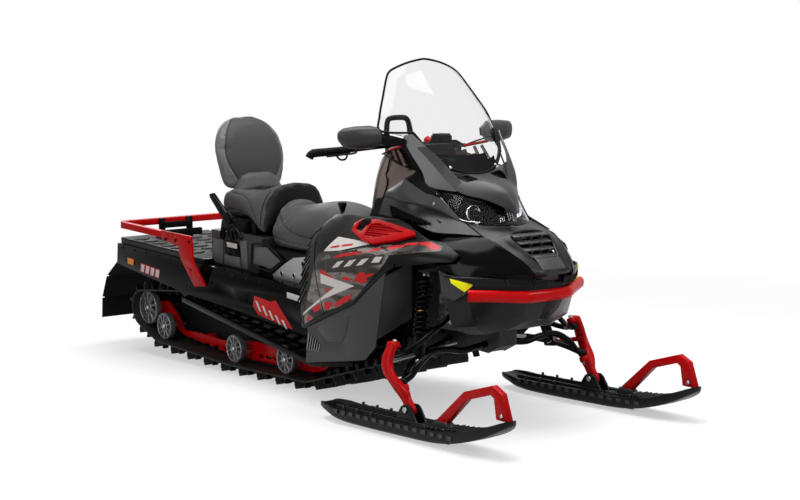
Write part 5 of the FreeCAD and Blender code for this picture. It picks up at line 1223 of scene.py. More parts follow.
foot = sheet("screen_foot", [v + Vector((0.0025, 0, 0.002)) for v in verts], foot_faces, 0.001, satin_black,
             slot="black_plastic")
foot.data.validate()
rim_line = ([row[-1] for row in screen_rows[1:]] + list(reversed(screen_rows[-1]))[1:-1] +
            [row[0] for row in reversed(screen_rows[1:])])
strand("screen_trim", [[screen_rows[0][-1]] + rim_line + [screen_rows[0][0]]], 0.0048, satin_black,
       slot="rubber_black")
strand("screen_gasket", [screen_rows[0]], 0.0075, satin_black, slot="rubber_black")
mounts = [turned([(0.008, 0.0), (0.008, 0.006), (0.005, 0.0085)], spot, (0.8, s * 0.3, 0.6), 12)
          for s in (-1, 1) for spot in ((0.876, s * 0.178, 1.052), (0.914, s * 0.12, 1.0))]
joined("screen_screws", mounts, steel, slot="steel")

# Column cover: bronze-tinted sheet bent round the steering column, clipped into a thin black frame
# with red slips, and black on the inside where it meets the windshield.

cover_rows = [whole(row) for row in (
    ((0.455, 0, 1.006), (0.461, 0.112, 1.003), (0.604, 0.188, 1.062), (0.762, 0.23, 1.108)),
    ((0.434, 0, 0.93), (0.441, 0.124, 0.928), (0.6, 0.2, 0.968), (0.856, 0.216, 1.0)),
    ((0.402, 0, 0.802), (0.408, 0.128, 0.8), (0.566, 0.19, 0.856), (0.69, 0.226, 0.924)),
)]
verts, faces = outward(*grid_mesh(cover_rows, 4, 5), (0.7, 0, 0.95))
tint = finish("cover_tint", (0.15, 0.098, 0.075), 0.16, gloss=0.5, coat=0.35, scale=90, depth=0.03, spread=0.05)
cover = sheet("column_cover", verts, faces, 0.003, tint, satin_black, slot="tinted_cover")
opened = bmesh.new()
opened.from_mesh(cover.data)
dark = []
for face in opened.faces:
    x, y, z = face.calc_center_median()
    if z > 1.041 - (x - 0.641) * 0.32 and x > 0.56 and abs(y) > 0.1:
        face.material_index = 1
        dark.append(face)
bmesh.ops.delete(opened, geom=[face for face in dark if face.calc_center_median().y > 0], context="FACES")
opened.to_mesh(cover.data)
opened.free()
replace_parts(cover, "steering_cover")


def across(*line):
    """The same line on both sides."""
    return [[(x, s * y, z) for x, y, z in line] for s in (-1, 1)]


cover_frame = strand("cover_frame", across(
    (0.566, 0.188, 1.048), (0.604, 0.193, 1.06), (0.604, 0.193, 1.06), (0.69, 0.217, 1.09), (0.768, 0.236, 1.11),
    (0.768, 0.236, 1.11), (0.82, 0.228, 1.05), (0.858, 0.222, 0.998), (0.858, 0.222, 0.998), (0.78, 0.224, 0.96),
    (0.692, 0.229, 0.922), (0.692, 0.229, 0.922), (0.566, 0.193, 0.854)) + across(
    (0.58, 0.192, 1.052), (0.641, 0.209, 1.036), (0.73, 0.217, 1.01), (0.852, 0.219, 0.99)) + across(
    (0.461, 0.116, 1.003), (0.53, 0.155, 1.0), (0.604, 0.2, 0.968), (0.64, 0.208, 1.03)) + across(
    (0.604, 0.2, 0.968), (0.62, 0.206, 0.93), (0.566, 0.193, 0.856)), 0.0034, satin_black, steps=3,
    slot="black_plastic")
red_slip = strand("cover_slips", across((0.632, 0.2, 1.068), (0.69, 0.216, 1.079), (0.745, 0.226, 1.089)), 0.0062,
                  cast_red, slot="red_metal")
pillar = strand("cover_pillars", across((0.715, 0.222, 1.07), (0.765, 0.226, 1.008)) + across(
    (0.676, 0.215, 1.065), (0.70, 0.217, 1.03)), 0.007, tint, slot="tinted_cover")
for piece in (cover_frame, red_slip, pillar):
    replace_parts(piece, "steering_cover")

# Shroud: dark moulded wall that closes the body ahead of the saddle, below the tinted cover. Its
# wings reach out to the side panels.
shroud_core = [(0.5, 0.48), (0.478, 0.79), (0.53, 0.872), (0.63, 0.872), (0.67, 0.48)]
shroud_wing = [(0.55, 0.45), (0.555, 0.77), (0.58, 0.795), (0.61, 0.795), (0.63, 0.77), (0.635, 0.45)]
shroud = joined("column_shroud", [prism(shroud_core, -0.2, 0.2, "y")] +
                [prism(shroud_wing, s * 0.245 - 0.065, s * 0.245 + 0.065, "y") for s in (-1, 1)], satin_black,
                slot="black_plastic")
rounded(shroud, 0.012, 30, 3)

# Handlebar: steel tube on a leaning column, hooked rubber grips, a padded grab strap over the
# middle, the brake cylinder and its ball-ended lever on the left.

rubber = finish("rubber", (0.005, 0.005, 0.0055), 0.55, gloss=0.1, scale=700, depth=0.35)
dress("handlebar", tube_black)
grip_ends = strand("hooked_grips", across((0.397, 0.232, 1.0615), (0.376, 0.31, 1.0575), (0.362, 0.358, 1.056),
                                          (0.357, 0.382, 1.054), (0.353, 0.396, 1.047), (0.349, 0.403, 1.034)), 0.0172,
                   rubber, body="handlebar", slot="rubber_black")
ribs = [turned([(0.0171, 0), (0.018, 0.002), (0.018, 0.005), (0.0171, 0.007)],
               Vector((0.397, s * 0.236, 1.0613)).lerp(Vector((0.356, s * 0.384, 1.0533)), i / 11),
               (-0.041, s * 0.148, -0.008), 20) for s in (-1, 1) for i in range(12)]
grip_ribs = joined("grip_ribs", ribs, rubber, body="handlebar", slot="rubber_black")
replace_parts(grip_ends, "grips")
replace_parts(grip_ribs, "grips")
strand("grab_strap", [[(0.4425, -0.072, 1.076), (0.439, -0.066, 1.12), (0.4345, -0.056, 1.17),
                       (0.433, -0.04, 1.186), (0.433, 0, 1.189), (0.433, 0.04, 1.186),
                       (0.4345, 0.056, 1.17), (0.439, 0.066, 1.12), (0.4425, 0.072, 1.076)]], 0.0115, rubber,
       body="handlebar", slot="rubber_black")
strand("hand_levers", across((0.41, 0.205, 1.062), (0.43, 0.225, 1.05), (0.42, 0.29, 1.045),
                             (0.402, 0.35, 1.04)) + [
    [(0.404, -0.246, 1.053), (0.41, -0.258, 1.028), (0.404, -0.282, 1.024), (0.394, -0.3, 1.046)]], 0.0042, satin_black,
    body="handlebar", slot="black_metal")
joined("brake_cylinder", [
    turned([(0.013, 0), (0.017, 0.003), (0.017, 0.035), (0.013, 0.04)], (0.379, 0.2, 1.088), (0.085, 0, -0.035), 20)],
    cast_red, body="handlebar", slot="red_metal")
pump_body = joined("brake_body", [
    turned([(0.015, 0.035), (0.02, 0.04), (0.023, 0.085), (0.02, 0.1)], (0.379, 0.2, 1.088), (0.085, 0, -0.035), 20),
    prism([(0.452, 0.165), (0.516, 0.165), (0.522, 0.172), (0.522, 0.222), (0.516, 0.23), (0.452, 0.23), (0.446, 0.222),
           (0.446, 0.172)], 1.076, 1.108)], satin_black, body="handlebar", slot="black_metal")
rounded(pump_body, 0.003, 40)
lid = joined("brake_lid", [prism([(0.456, 0.17), (0.512, 0.17), (0.517, 0.176), (0.517, 0.219), (0.512, 0.225),
                                  (0.456, 0.225), (0.451, 0.219), (0.451, 0.176)], 1.108, 1.116)], engine_grey,
             body="handlebar", slot="engine_grey")
rounded(lid, 0.002, 40)
strand("brake_lever", [[(0.49, 0.215, 1.07), (0.512, 0.245, 1.083), (0.518, 0.275, 1.07),
                        (0.514, 0.296, 1.06)]], 0.006, satin_black, body="handlebar", slot="black_metal")
joined("lever_ball", [turned([(0.002, -0.0095), (0.007, -0.007), (0.0098, 0), (0.007, 0.007), (0.002, 0.0095)],
                             (0.514, 0.3, 1.062), (0, 1, -0.2), 16)], satin_black, body="handlebar",
       slot="black_metal")
clamps = joined("bar_clamps", [prism([(0.425, s * 0.022), (0.425, s * 0.05), (0.472, s * 0.05), (0.472, s * 0.022)],
                                     1.052, 1.094) for s in (-1, 1)] + [
    turned([(0.0042, 0), (0.006, 0.001), (0.006, 0.006), (0.004, 0.008)], (x, s * 0.036, 1.094), (0, 0, 1), 12)
    for s in (-1, 1) for x in (0.433, 0.464)], engine_grey, body="handlebar", slot="engine_grey")
rounded(clamps, 0.002, 40)

# Mirrors: smooth moulded grey pods on folded black arms that are screwed to the visor's blades, each
# with its glass facing the rider. The left ones mirror the right.

def pod_ring(y, back, front, low, high, round_power=0.78, count=20):
    """A rounded cross-section of a pod or an arm at its distance from the middle."""
    ring = []
    for i in range(count):
        angle = 2 * math.pi * i / count
        c, s = math.cos(angle), math.sin(angle)
        ring.append(Vector(((back + front) / 2 + (front - back) / 2 * math.copysign(abs(c) ** round_power, c), y,
                            (low + high) / 2 + (high - low) / 2 * math.copysign(abs(s) ** round_power, s))))
    return ring


pod_stations = [(0.4625, 0.63, 0.638, 1.132, 1.144), (0.455, 0.618, 0.65, 1.112, 1.154),
                (0.435, 0.608, 0.67, 1.09, 1.166), (0.38, 0.604, 0.69, 1.08, 1.1715), (0.32, 0.61, 0.7, 1.079, 1.172),
                (0.298, 0.63, 0.706, 1.09, 1.166), (0.286, 0.65, 0.7, 1.104, 1.148)]
arm_stations = [(0.3, 0.668, 0.7, 1.1, 1.14), (0.284, 0.69, 0.722, 1.094, 1.138), (0.268, 0.73, 0.76, 1.09, 1.13),
                (0.256, 0.778, 0.81, 1.094, 1.12)]
glass_line = ((0.45, 1.125), (0.43, 1.155), (0.38, 1.163), (0.33, 1.162), (0.305, 1.14), (0.31, 1.1), (0.34, 1.09),
              (0.39, 1.089), (0.435, 1.1))
pods, arms, glasses = [], [], []
for s in (-1, 1):
    for meshes, stations in ((pods, pod_stations), (arms, arm_stations)):
        meshes.append(loft_mesh("pod", [[Vector((p.x, s * p.y, p.z)) for p in pod_ring(*station)]
                                        for station in stations]))
    glasses.append(loft_mesh("glass", [[Vector((x, s * y * 0.94 + s * 0.022, 1.127 + (z - 1.127) * 0.78))
                                        for y, z in glass_line] for x in (0.6085, 0.601)]))
mirror_pods = joined("mirror_pods", pods, visor_grey, slot="dark_plastic")
mirror_arms = joined("mirror_arms", arms, satin_black, slot="black_plastic")
mirror_glass = joined("mirror_glass", glasses, chrome, slot="lamp_chrome")
for piece in (mirror_pods, mirror_arms, mirror_glass):
    piece.modifiers.new("shade", "NODES").node_group = soften
    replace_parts(piece, "mirrors")

# Gear lever: a wedge-shaped rubber knob pressed on a steel stem that stands beside the saddle, on
# the right.

strand("gear_stem", [[(0.306, -0.213, 0.758), (0.302, -0.202, 0.81)]], 0.004, satin_black, slot="black_metal")
knob_ring = [(p.x - 0.301, p.z + 0.2) for p in pod_ring(0, 0.284, 0.318, -0.218, -0.182)]
place("gear_knob", loft_mesh("knob", [[Vector((0.301 + x * k, -0.2 + y * k, z)) for x, y in knob_ring] for z, k in (
    (0.792, 0.42), (0.8, 0.55), (0.826, 0.98), (0.832, 0.98), (0.836, 0.8))]), rubber, slot="rubber_black")


# Track: a moulded rubber belt with lug ends between its big lugs, a bead along each edge and guide
# lugs inside. Its wheels are moulded with bright rims and spokes, on steel axles and red rails.
# The small parts are set on points, blocks or round heads, each along its own aim.

studs = bpy.data.node_groups.new("studs", "GeometryNodeTree")
for label, kind in (("Geometry", "NodeSocketGeometry"), ("Round", "NodeSocketBool"), ("Size", "NodeSocketVector"),
                    ("Material", "NodeSocketMaterial")):
    studs.interface.new_socket(label, in_out="INPUT", socket_type=kind)
studs.interface.new_socket("Geometry", in_out="OUTPUT", socket_type="NodeSocketGeometry")
given = studs.nodes.new("NodeGroupInput").outputs
block = add(studs, "GeometryNodeMeshCube", {"Size": (1, 1, 1)})
head = add(studs, "GeometryNodeMeshCylinder", {"Vertices": 12, "Radius": 0.5, "Depth": 1.0})
kind = add(studs, "GeometryNodeSwitch", {"Switch": given["Round"], "False": block.outputs["Mesh"],
                                         "True": head.outputs["Mesh"]}, input_type="GEOMETRY")
aim = add(studs, "GeometryNodeInputNamedAttribute", {"Name": "aim"}, data_type="FLOAT_VECTOR")
turn = add(studs, "FunctionNodeAlignRotationToVector", {"Vector": aim.outputs["Attribute"]}, axis="Z")
spots = add(studs, "GeometryNodeInstanceOnPoints", {"Points": given["Geometry"], "Instance": kind.outputs["Output"],
                                                    "Rotation": turn.outputs[0], "Scale": given["Size"]})
solid = add(studs, "GeometryNodeRealizeInstances", {"Geometry": spots.outputs[0]})
painted = add(studs, "GeometryNodeSetMaterial", {"Geometry": solid.outputs[0], "Material": given["Material"]})
studs.links.new(painted.outputs[0], studs.nodes.new("NodeGroupOutput").inputs["Geometry"])


def set_on(points, aims, size, round_head=True):
    """A mesh of small heads or blocks set on points, each turned to its aim."""
    seeds = bpy.data.meshes.new("seeds")
    seeds.from_pydata(points, [], [])
    attribute = seeds.attributes.new("aim", "FLOAT_VECTOR", "POINT")
    attribute.data.foreach_set("vector", [c for aim in aims for c in aim])
    return grow(studs, {"Round": round_head, "Size": size}, seeds)


belt_circles = [(0.62, 0.275, 0.08), (-0.6, 0.306, 0.066), (-1.297, 0.229, 0.084), (-1.15, 0.15, 0.066),
                (-0.534, 0.112, 0.066), (0.06, 0.246, 0.2)]


def belt_path(lift, count, through=(-0.0755, 0)):
    """Points evenly along the belt, one of them under a place, each with its outward direction."""
    circles = [(x, z, r + lift) for x, z, r in belt_circles]
    leave = []
    for (x, z, r), (nx, nz, nr) in zip(circles, circles[1:] + circles[:1]):
        leave.append(math.atan2(nz - z, nx - x) - math.acos((r - nr) / math.hypot(nx - x, nz - z)))
    line = []
    for i, (x, z, r) in enumerate(circles):
        turn = (leave[i] - leave[i - 1]) % (2 * math.pi)
        for j in range(13):
            angle = leave[i - 1] + turn * j / 12
            line.append(Vector((x + r * math.cos(angle), 0, z + r * math.sin(angle))))
    line.append(line[0])
    lengths = [(b - a).length for a, b in zip(line, line[1:])]
    pitch = sum(lengths) / count
    last = len(circles) * 13 - 14
    a, b = line[last], line[last + 1]
    under = sum(lengths[:last]) + (b - a).length * (through[0] - a.x) / (b.x - a.x)
    spots, outs, travelled = [], [], under % pitch
    for a, b, length in zip(line, line[1:], lengths):
        if length < 1e-6:
            continue
        along = (b - a) / length
        while travelled < length:
            spots.append(a + along * travelled)
            outs.append(Vector((along.z, 0, -along.x)))
            travelled += pitch
        travelled -= length
    return spots, outs


track_rubber = finish("track_rubber", (0.012, 0.0115, 0.0115), 0.5, gloss=0.3, scale=260, depth=0.5)
wheel_grey = finish("wheel_grey", (0.1, 0.1, 0.105), 0.36, gloss=0.3, scale=500, depth=0.08)
for name, material in (("track", track_rubber), ("drive_axle", rubber), ("track_wheels", wheel_grey),
                       ("wheel_axles", steel), ("slide_rails", cast_red), ("rail_sliders", rubber),
                       ("suspension_arms", cast_red), ("track_shocks", tube_black)):
    dress(name, material)
lug_count = 60
spots, outs = belt_path(0.008, lug_count)
ends, guides = [], []
for s in (-1, 1):
    ends.append(set_on([p + o * 0.012 + Vector((0, s * 0.238, 0)) for p, o in zip(spots, outs)], outs,
                       (0.011, 0.03, 0.026), False))
spots, outs = belt_path(0.0, lug_count)
for y in (-0.112, 0.112):
    guides.append(set_on([p - o * 0.016 + Vector((0, y, 0)) for p, o in zip(spots, outs)], outs,
                         (0.03, 0.022, 0.034), False))
lug_ends = joined("track_lug_ends", ends, tube_black, slot="rubber_black")
rounded(lug_ends, 0.002, 40)
guide_lugs = joined("track_guide_lugs", guides, track_rubber, slot="rubber_black")
rounded(guide_lugs, 0.004, 40)
spots, outs = belt_path(0.004, 220)
strand("track_edges", [[p + Vector((0, y, 0)) for p in spots] for y in (-0.2545, 0.2545)], 0.0045,
       track_rubber, closed=True, steps=1, slot="rubber_black")
wheel_bright = finish("wheel_bright", (0.32, 0.32, 0.33), 0.26, metallic=0.9, scale=500, depth=0.05)
rim_lines, spoke_lines, caps = [], [], []
for x, z, r in ((-0.124, 0.112, 0.066), (-0.534, 0.112, 0.066), (-1.15, 0.15, 0.066), (-1.297, 0.229, 0.084)):
    for y in (-0.2195, 0.2195):
        for ring in (r - 0.0065, r * 0.34):
            rim_lines.append([(x + ring * math.cos(a), y, z + ring * math.sin(a))
                              for a in (2 * math.pi * i / 40 for i in range(40))])
        for i in range(10):
            a = 2 * math.pi * (i + 0.5) / 10
            for off in (-0.09, 0.09):
                spoke_lines.append([(x + r * 0.34 * math.cos(a + off * 1.2), y, z + r * 0.34 * math.sin(a + off * 1.2)),
                                    (x + (r - 0.008) * math.cos(a + off * 0.55), y,
                                     z + (r - 0.008) * math.sin(a + off * 0.55))])
        caps.append(turned([(0.011, -0.004), (0.011, 0.004), (0.007, 0.008), (0.003, 0.008)], (x, y, z),
                           (0, 1 if y > 0 else -1, 0), 16))
strand("wheel_rims", rim_lines, 0.0022, wheel_bright, closed=True, steps=1, slot="wheel_grey")
strand("wheel_spokes", spoke_lines, 0.0013, wheel_bright, steps=1, slot="wheel_grey")
joined("wheel_caps", caps, steel, slot="steel")

# Tunnel: folded black sheet with printed stripes, an amber reflector and rivets along its fold, a
# running board on each side, a rubber flap behind, and black plates inside the track loop as painted shade.

tunnel_black = finish("tunnel_black", (0.0008, 0.0008, 0.001), 0.14, gloss=0.06, scale=40, depth=0.04, spread=0.04)
for name, material in (("tunnel", tunnel_black), ("running_boards", tunnel_black), ("snow_flap", rubber)):
    dress(name, material)


def flat_patch(name, outlines, y, thick, material, slot="grey_plastic", lift=0.0):
    """Flat plates on both sides of the machine, each an outline in x and z at its distance from the middle."""
    verts, faces = [], []
    for outline in outlines:
        for s in (-1, 1):
            base = len(verts)
            verts += [Vector((p[0], s * (y + lift if len(p) < 3 else p[2]), p[1])) for p in outline]
            ring = list(range(base, base + len(outline)))
            area = sum(a[0] * b[1] - b[0] * a[1] for a, b in zip(outline, outline[1:] + outline[:1]))
            faces.append(ring if (area > 0) == (s < 0) else ring[::-1])
    return sheet(name, verts, faces, thick, material, edge=min(thick / 3, 0.0015), slot=slot)


tunnel_side = 0.27
amber = finish("amber_lens", (0.9, 0.28, 0.01), 0.3, gloss=0.3, coat=0.2, scale=420, depth=0.5, drifting=0.1)
white_ink = finish("tunnel_white", (0.62, 0.6, 0.58), 0.4, gloss=0.2, scale=900, depth=0.03, drifting=0.1)
red_ink = finish("tunnel_red", (0.5, 0.01, 0.012), 0.4, gloss=0.2, scale=900, depth=0.03, drifting=0.15)
flat_patch("side_reflectors", [[(-1.392, 0.474), (-1.336, 0.468), (-1.336, 0.438), (-1.392, 0.444)]],
           tunnel_side + 0.0035, 0.004,
           amber, slot="lamp_chrome")
bars_white = [[(-1.262 + 0.046 * i, 0.452 - 0.005 * i), (-1.232 + 0.046 * i, 0.449 - 0.005 * i),
               (-1.242 + 0.046 * i, 0.413 - 0.005 * i), (-1.272 + 0.046 * i, 0.416 - 0.005 * i)] for i in range(4)]
flat_patch("tunnel_bars_red", [[(x + (0.006 if i in (1, 2) else -0.006), z + (0.004 if i < 2 else -0.004))
                                for i, (x, z) in enumerate(bar)] for bar in bars_white],
           tunnel_side + 0.0006, 0.0006, red_ink)
flat_patch("tunnel_bars_white", bars_white, tunnel_side + 0.0008, 0.0006, white_ink)
flat_patch("tunnel_patch", [[(-0.278, 0.388), (-0.152, 0.374), (-0.112, 0.384), (0.018, 0.268), (-0.252, 0.304),
                             (-0.292, 0.342)]], tunnel_side + 0.0006, 0.0006, red_ink)
flat_patch("tunnel_patch_stripes", [[(-0.27 + 0.05 * i, 0.366 - 0.016 * i), (-0.255 + 0.05 * i, 0.365 - 0.016 * i),
                                     (-0.225 + 0.05 * i, 0.321 - 0.014 * i), (-0.24 + 0.05 * i, 0.322 - 0.014 * i)]
                                    for i in range(5)], tunnel_side + 0.001, 0.0006, white_ink)
flat_patch("tunnel_label", [[(-0.022, 0.43), (0.08, 0.42), (0.08, 0.394), (-0.022, 0.404)]],
           tunnel_side + 0.0008, 0.0006, white_ink)


def side_heads(name, spots, y, size, material, slot):
    """Round heads on both sides of the machine, at points in x and z."""
    return joined(name, [set_on([(x, s * y, z) for x, z in spots], [(0, s, 0)] * len(spots), size) for s in (-1, 1)],
                  material, slot=slot)


fold_rivets = [(-1.44 + 0.11 * i, 0.458 + 0.054 * (1.44 - 0.11 * i) - 0.016) for i in range(13)]
low_rivets = [(x, 0.31 - 0.1 * (x + 0.6)) for x in (-0.78, -0.6, -0.44, -0.2, -0.04, 0.12)]
rivets = side_heads("tunnel_rivets", fold_rivets + low_rivets, tunnel_side + 0.0005, (0.011, 0.011, 0.004), tube_black,
                    "black_metal")
rounded(rivets, 0.0012, 40)
# Painted shade: two black rubber plates inside the track loop, in place of the shade seen there.
shade_plate_line = [(-1.2, 0.17), (-1.16, 0.33), (-0.7, 0.33), (-0.1, 0.31), (0.5, 0.29), (0.5, 0.2), (0.25, 0.13),
              (-1.1, 0.12)]
joined("painted_shade_plates", [prism(shade_plate_line, -0.1, -0.094, "y"), prism(shade_plate_line, 0.094, 0.1, "y")], rubber,
       slot="rubber_black")

# Cargo deck: a sheet with pressed chevrons, low side rails and a rounded rubber end cap. The red
# rack loop stands on folded brackets bolted to the tunnel, and stays carry the rear lamp.

deck_grey = finish("deck_grey", (0.08, 0.08, 0.083), 0.6, gloss=0.15, scale=450, depth=0.5)
for name, material in (("cargo_deck", deck_grey), ("rack_loop", cast_red), ("rack_brackets", cast_red),
                       ("rear_stays", satin_black), ("tow_hitch", tube_black)):
    dress(name, material)


def deck_top(x):
    """Height of the deck's sheet, which rises a little to the rear."""
    return 0.4845 - 0.054 * x


chevrons = []
for row in range(7):
    x = -1.38 + 0.085 * row
    for y in (-0.19, -0.065, 0.065, 0.19):
        for lean in (-1, 1):
            chevrons.append(bars(1, (x, y + lean * 0.022, deck_top(x) + 0.0015), (0, 0, 0), (0.01, 0.052, 0.006),
                                 turn=(0, 0.054, lean * 0.55)))
pressings = joined("deck_chevrons", chevrons, deck_grey, slot="deck_grey")
rounded(pressings, 0.0018, 40)
cap = strand("deck_cap", [[(-1.462, -0.25, 0.548), (-1.462, 0, 0.548), (-1.462, 0.25, 0.548)]], 0.0185, rubber,
             slot="rubber_black")
strand("deck_rails", across((-1.45, 0.262, 0.5645), (-0.86, 0.262, 0.5325)), 0.006, tube_black,
       slot="black_metal")
lamp_bar = joined("rear_lamp", [prism([(-1.352, -0.13), (-1.352, 0.13), (-1.33, 0.13), (-1.33, -0.13)], 0.566, 0.6)],
                  satin_black, slot="black_plastic")
rounded(lamp_bar, 0.004, 40)
joined("deck_block", [prism([(-0.86, 0.505), (-0.86, 0.528), (-0.7, 0.519), (-0.7, 0.496)], -0.262, 0.262, "y")],
       satin_black, slot="black_plastic")
bracket_bolts = side_heads("bracket_bolts", [(-0.755, 0.395), (-0.72, 0.392), (-0.93, 0.602), (-0.72, 0.604),
                                             (-0.84, 0.603)], 0.3335, (0.015, 0.015, 0.006), tube_black, "black_metal")
rounded(bracket_bolts, 0.0015, 40)

# Under the seats: a moulded grey box with a latch pocket, a black frame with a grey side panel and
# a drilled silver plate, and flat curved grab handles on black brackets.

base_grey = finish("base_grey", (0.03, 0.03, 0.031), 0.42, gloss=0.25, scale=520, depth=0.3)
silver = finish("silver_plate", (0.5, 0.5, 0.51), 0.3, metallic=0.9, scale=800, depth=0.1)
dress("seat_base", base_grey)
dress("seat_frame", satin_black)
base_light = finish("base_light", (0.1, 0.1, 0.103), 0.34, gloss=0.3, scale=520, depth=0.2)
base_side = 0.2085
flat_patch("base_cheeks", [[(-0.7, 0.612), (-0.722, 0.508), (-0.63, 0.5), (-0.618, 0.61)],
                           [(-0.48, 0.612), (-0.468, 0.492), (-0.42, 0.49), (-0.425, 0.622)],
                           [(-0.612, 0.544), (-0.618, 0.5), (-0.478, 0.492), (-0.486, 0.54)]], base_side, 0.006,
           base_light)
flat_patch("latch_pocket", [[(-0.605, 0.615), (-0.602, 0.552), (-0.494, 0.546), (-0.496, 0.612)]], 0.2065, 0.003,
           satin_black)
flat_patch("latch_label", [[(-0.59, 0.604), (-0.588, 0.582), (-0.504, 0.578), (-0.506, 0.6)]], 0.2075, 0.0012,
           white_ink)
flat_patch("latch_handle", [[(-0.588, 0.574), (-0.584, 0.552), (-0.508, 0.549), (-0.51, 0.57)]], 0.211, 0.006,
           tube_black)
flat_patch("frame_panels", [[(-0.36, 0.596), (-0.268, 0.603), (-0.158, 0.549), (-0.234, 0.508), (-0.372, 0.522)]],
           0.2075, 0.003, base_light)
strand("frame_lines", across(
    (-0.378, 0.2075, 0.612), (-0.378, 0.2075, 0.612), (-0.262, 0.2085, 0.619), (-0.262, 0.2085, 0.619),
    (-0.132, 0.2085, 0.55), (-0.132, 0.2085, 0.55), (-0.23, 0.2085, 0.492), (-0.23, 0.2085, 0.492),
    (-0.39, 0.2075, 0.509), (-0.39, 0.2075, 0.509), (-0.378, 0.2075, 0.612)), 0.0045, tube_black, steps=2,
    slot="black_metal")
flat_patch("drilled_plates", [[(0.05, 0.585), (-0.055, 0.572), (-0.125, 0.54), (-0.222, 0.484), (-0.21, 0.468),
                               (0.055, 0.456)]], base_side, 0.004, silver, slot="steel")
plate_holes = [(-0.15, 0.494), (-0.055, 0.492), (0.015, 0.55)]
side_heads("plate_holes", plate_holes, 0.209, (0.02, 0.02, 0.002), satin_black, "black_plastic")
strand("plate_hole_rims", [[(x + 0.0115 * math.cos(a), s * 0.2095, z + 0.0115 * math.sin(a)) for a in (
    2 * math.pi * i / 20 for i in range(20))] for s in (-1, 1) for x, z in plate_holes[:2]], 0.0016, steel,
    closed=True, steps=1, slot="steel")
blade_line = [(-0.702, 0.822), (-0.676, 0.828), (-0.64, 0.8), (-0.59, 0.762), (-0.548, 0.728), (-0.532, 0.7),
              (-0.545, 0.676), (-0.562, 0.682), (-0.6, 0.716), (-0.655, 0.766), (-0.7, 0.806)]
stand_line = [(-0.606, 0.708), (-0.556, 0.716), (-0.536, 0.69), (-0.518, 0.616), (-0.545, 0.616), (-0.566, 0.664),
              (-0.59, 0.664), (-0.602, 0.616), (-0.63, 0.616)]
handle = joined("grab_blades", [prism(line, s * 0.217 - half, s * 0.217 + half, "y") for s in (-1, 1)
                                for line, half in ((blade_line, 0.009), (stand_line, 0.006))], gloss_black,
                slot="black_metal")
rounded(handle, 0.004, 30, 3)
linkage = strand("handle_links", [line for run in (
    ((-0.63, 0.215, 0.752), (-0.585, 0.218, 0.728), (-0.552, 0.218, 0.742), (-0.528, 0.213, 0.715)),
    ((-0.612, 0.212, 0.62), (-0.6, 0.214, 0.67), (-0.565, 0.214, 0.7), (-0.53, 0.212, 0.68), (-0.502, 0.209, 0.622)),
    ((-0.548, 0.213, 0.618), (-0.535, 0.215, 0.66), (-0.5, 0.213, 0.668), (-0.462, 0.209, 0.628)),
) for line in across(*run)], 0.0085, tube_black, slot="black_metal")
link_bolts = side_heads("link_bolts", [(-0.6, 0.67), (-0.53, 0.682), (-0.5, 0.66), (-0.578, 0.7)], 0.221,
                        (0.016, 0.016, 0.008), tube_black, "black_metal")
for piece in (handle, linkage, link_bolts):
    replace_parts(piece, "grab_handles")

# Riser: pressed steel tray bolted to the base, which carries the passenger's pad. Only its edge and
# three upright folds a side are seen.
tray = [(-0.71, 0.6), (-0.7, 0.66), (-0.66, 0.712), (-0.44, 0.712), (-0.4, 0.66), (-0.385, 0.6)]
fold = [(0, 0.61), (0.006, 0.7), (0.034, 0.7), (0.04, 0.61)]
riser = joined("pad_riser", [prism(tray, -0.148, 0.148, "y")] + [
    prism([(start + x, z) for x, z in fold], s * 0.158 - 0.012, s * 0.158 + 0.012, "y")
    for s in (-1, 1) for start in (-0.69, -0.51, -0.44)], satin_black, slot="black_metal")
rounded(riser, 0.005, 30)

# Beside the rider: a moulded rubber knee pad with raised ribs, and the footwell's lower shield with
# a lighter facet and bright slats set in its vent.

dress("knee_pads", panel_grey)
dress("footwells", panel_grey)
pad_near = [(0.18, 0.256, 0.764), (0.18, 0.336, 0.556), (0.18, 0.386, 0.296)]
pad_far = [(0.3, 0.266, 0.78), (0.3, 0.372, 0.585), (0.3, 0.407, 0.319)]
pad_rows = list(zip(curved([Vector(p) for p in pad_near], 8), curved([Vector(p) for p in pad_far], 8)))
rib_lines = []
for i in range(4, 14):
    near, far = pad_rows[i]
    up = pad_rows[max(i - 2, 0)]
    rib_lines.append([tuple(p) for p in (near.lerp(far, 0.16), near.lerp(far, 0.5).lerp(up[0].lerp(up[1], 0.5), 0.45),
                                         up[0].lerp(up[1], 0.9))])
strand("knee_ribs", [line for rib in rib_lines for line in across(*rib)], 0.0034, rubber, steps=4,
       slot="rubber_black")
shield_light = finish("shield_light", (0.06, 0.06, 0.062), 0.36, gloss=0.2, scale=600, depth=0.12)
flat_patch("shield_facets", [[(0.408, 0.33), (0.452, 0.362), (0.556, 0.402), (0.628, 0.406), (0.612, 0.336),
                              (0.574, 0.292), (0.478, 0.286)]], 0.4232, 0.0012, shield_light)
slat_lines = []
for i in range(6):
    x = 0.336 + 0.016 * i
    slat_lines += across((x, 0.4235, 0.236), (x + 0.018 - 0.001 * i, 0.4235, 0.306 - 0.007 * i))
strand("shield_slats", slat_lines, 0.0026, wheel_bright, steps=1, slot="grey_plastic")

# Front suspension: coil-over shocks with a gold ring, arms of bent black tube with ball joints at
# their outer ends, and tie rods of plain steel.

def along_line(top, foot):
    """Places round a line: radius, angle and distance from its top."""
    top, foot = Vector(top), Vector(foot)
    axis = (foot - top).normalized()
    one = axis.orthogonal().normalized()
    two = axis.cross(one)

    def around(radius, angle, distance):
        return tuple(top + axis * distance + one * (radius * math.cos(angle)) + two * (radius * math.sin(angle)))
    return around


ski_black = finish("ski_black", (0.006, 0.006, 0.0065), 0.3, gloss=0.2, scale=500, depth=0.15)
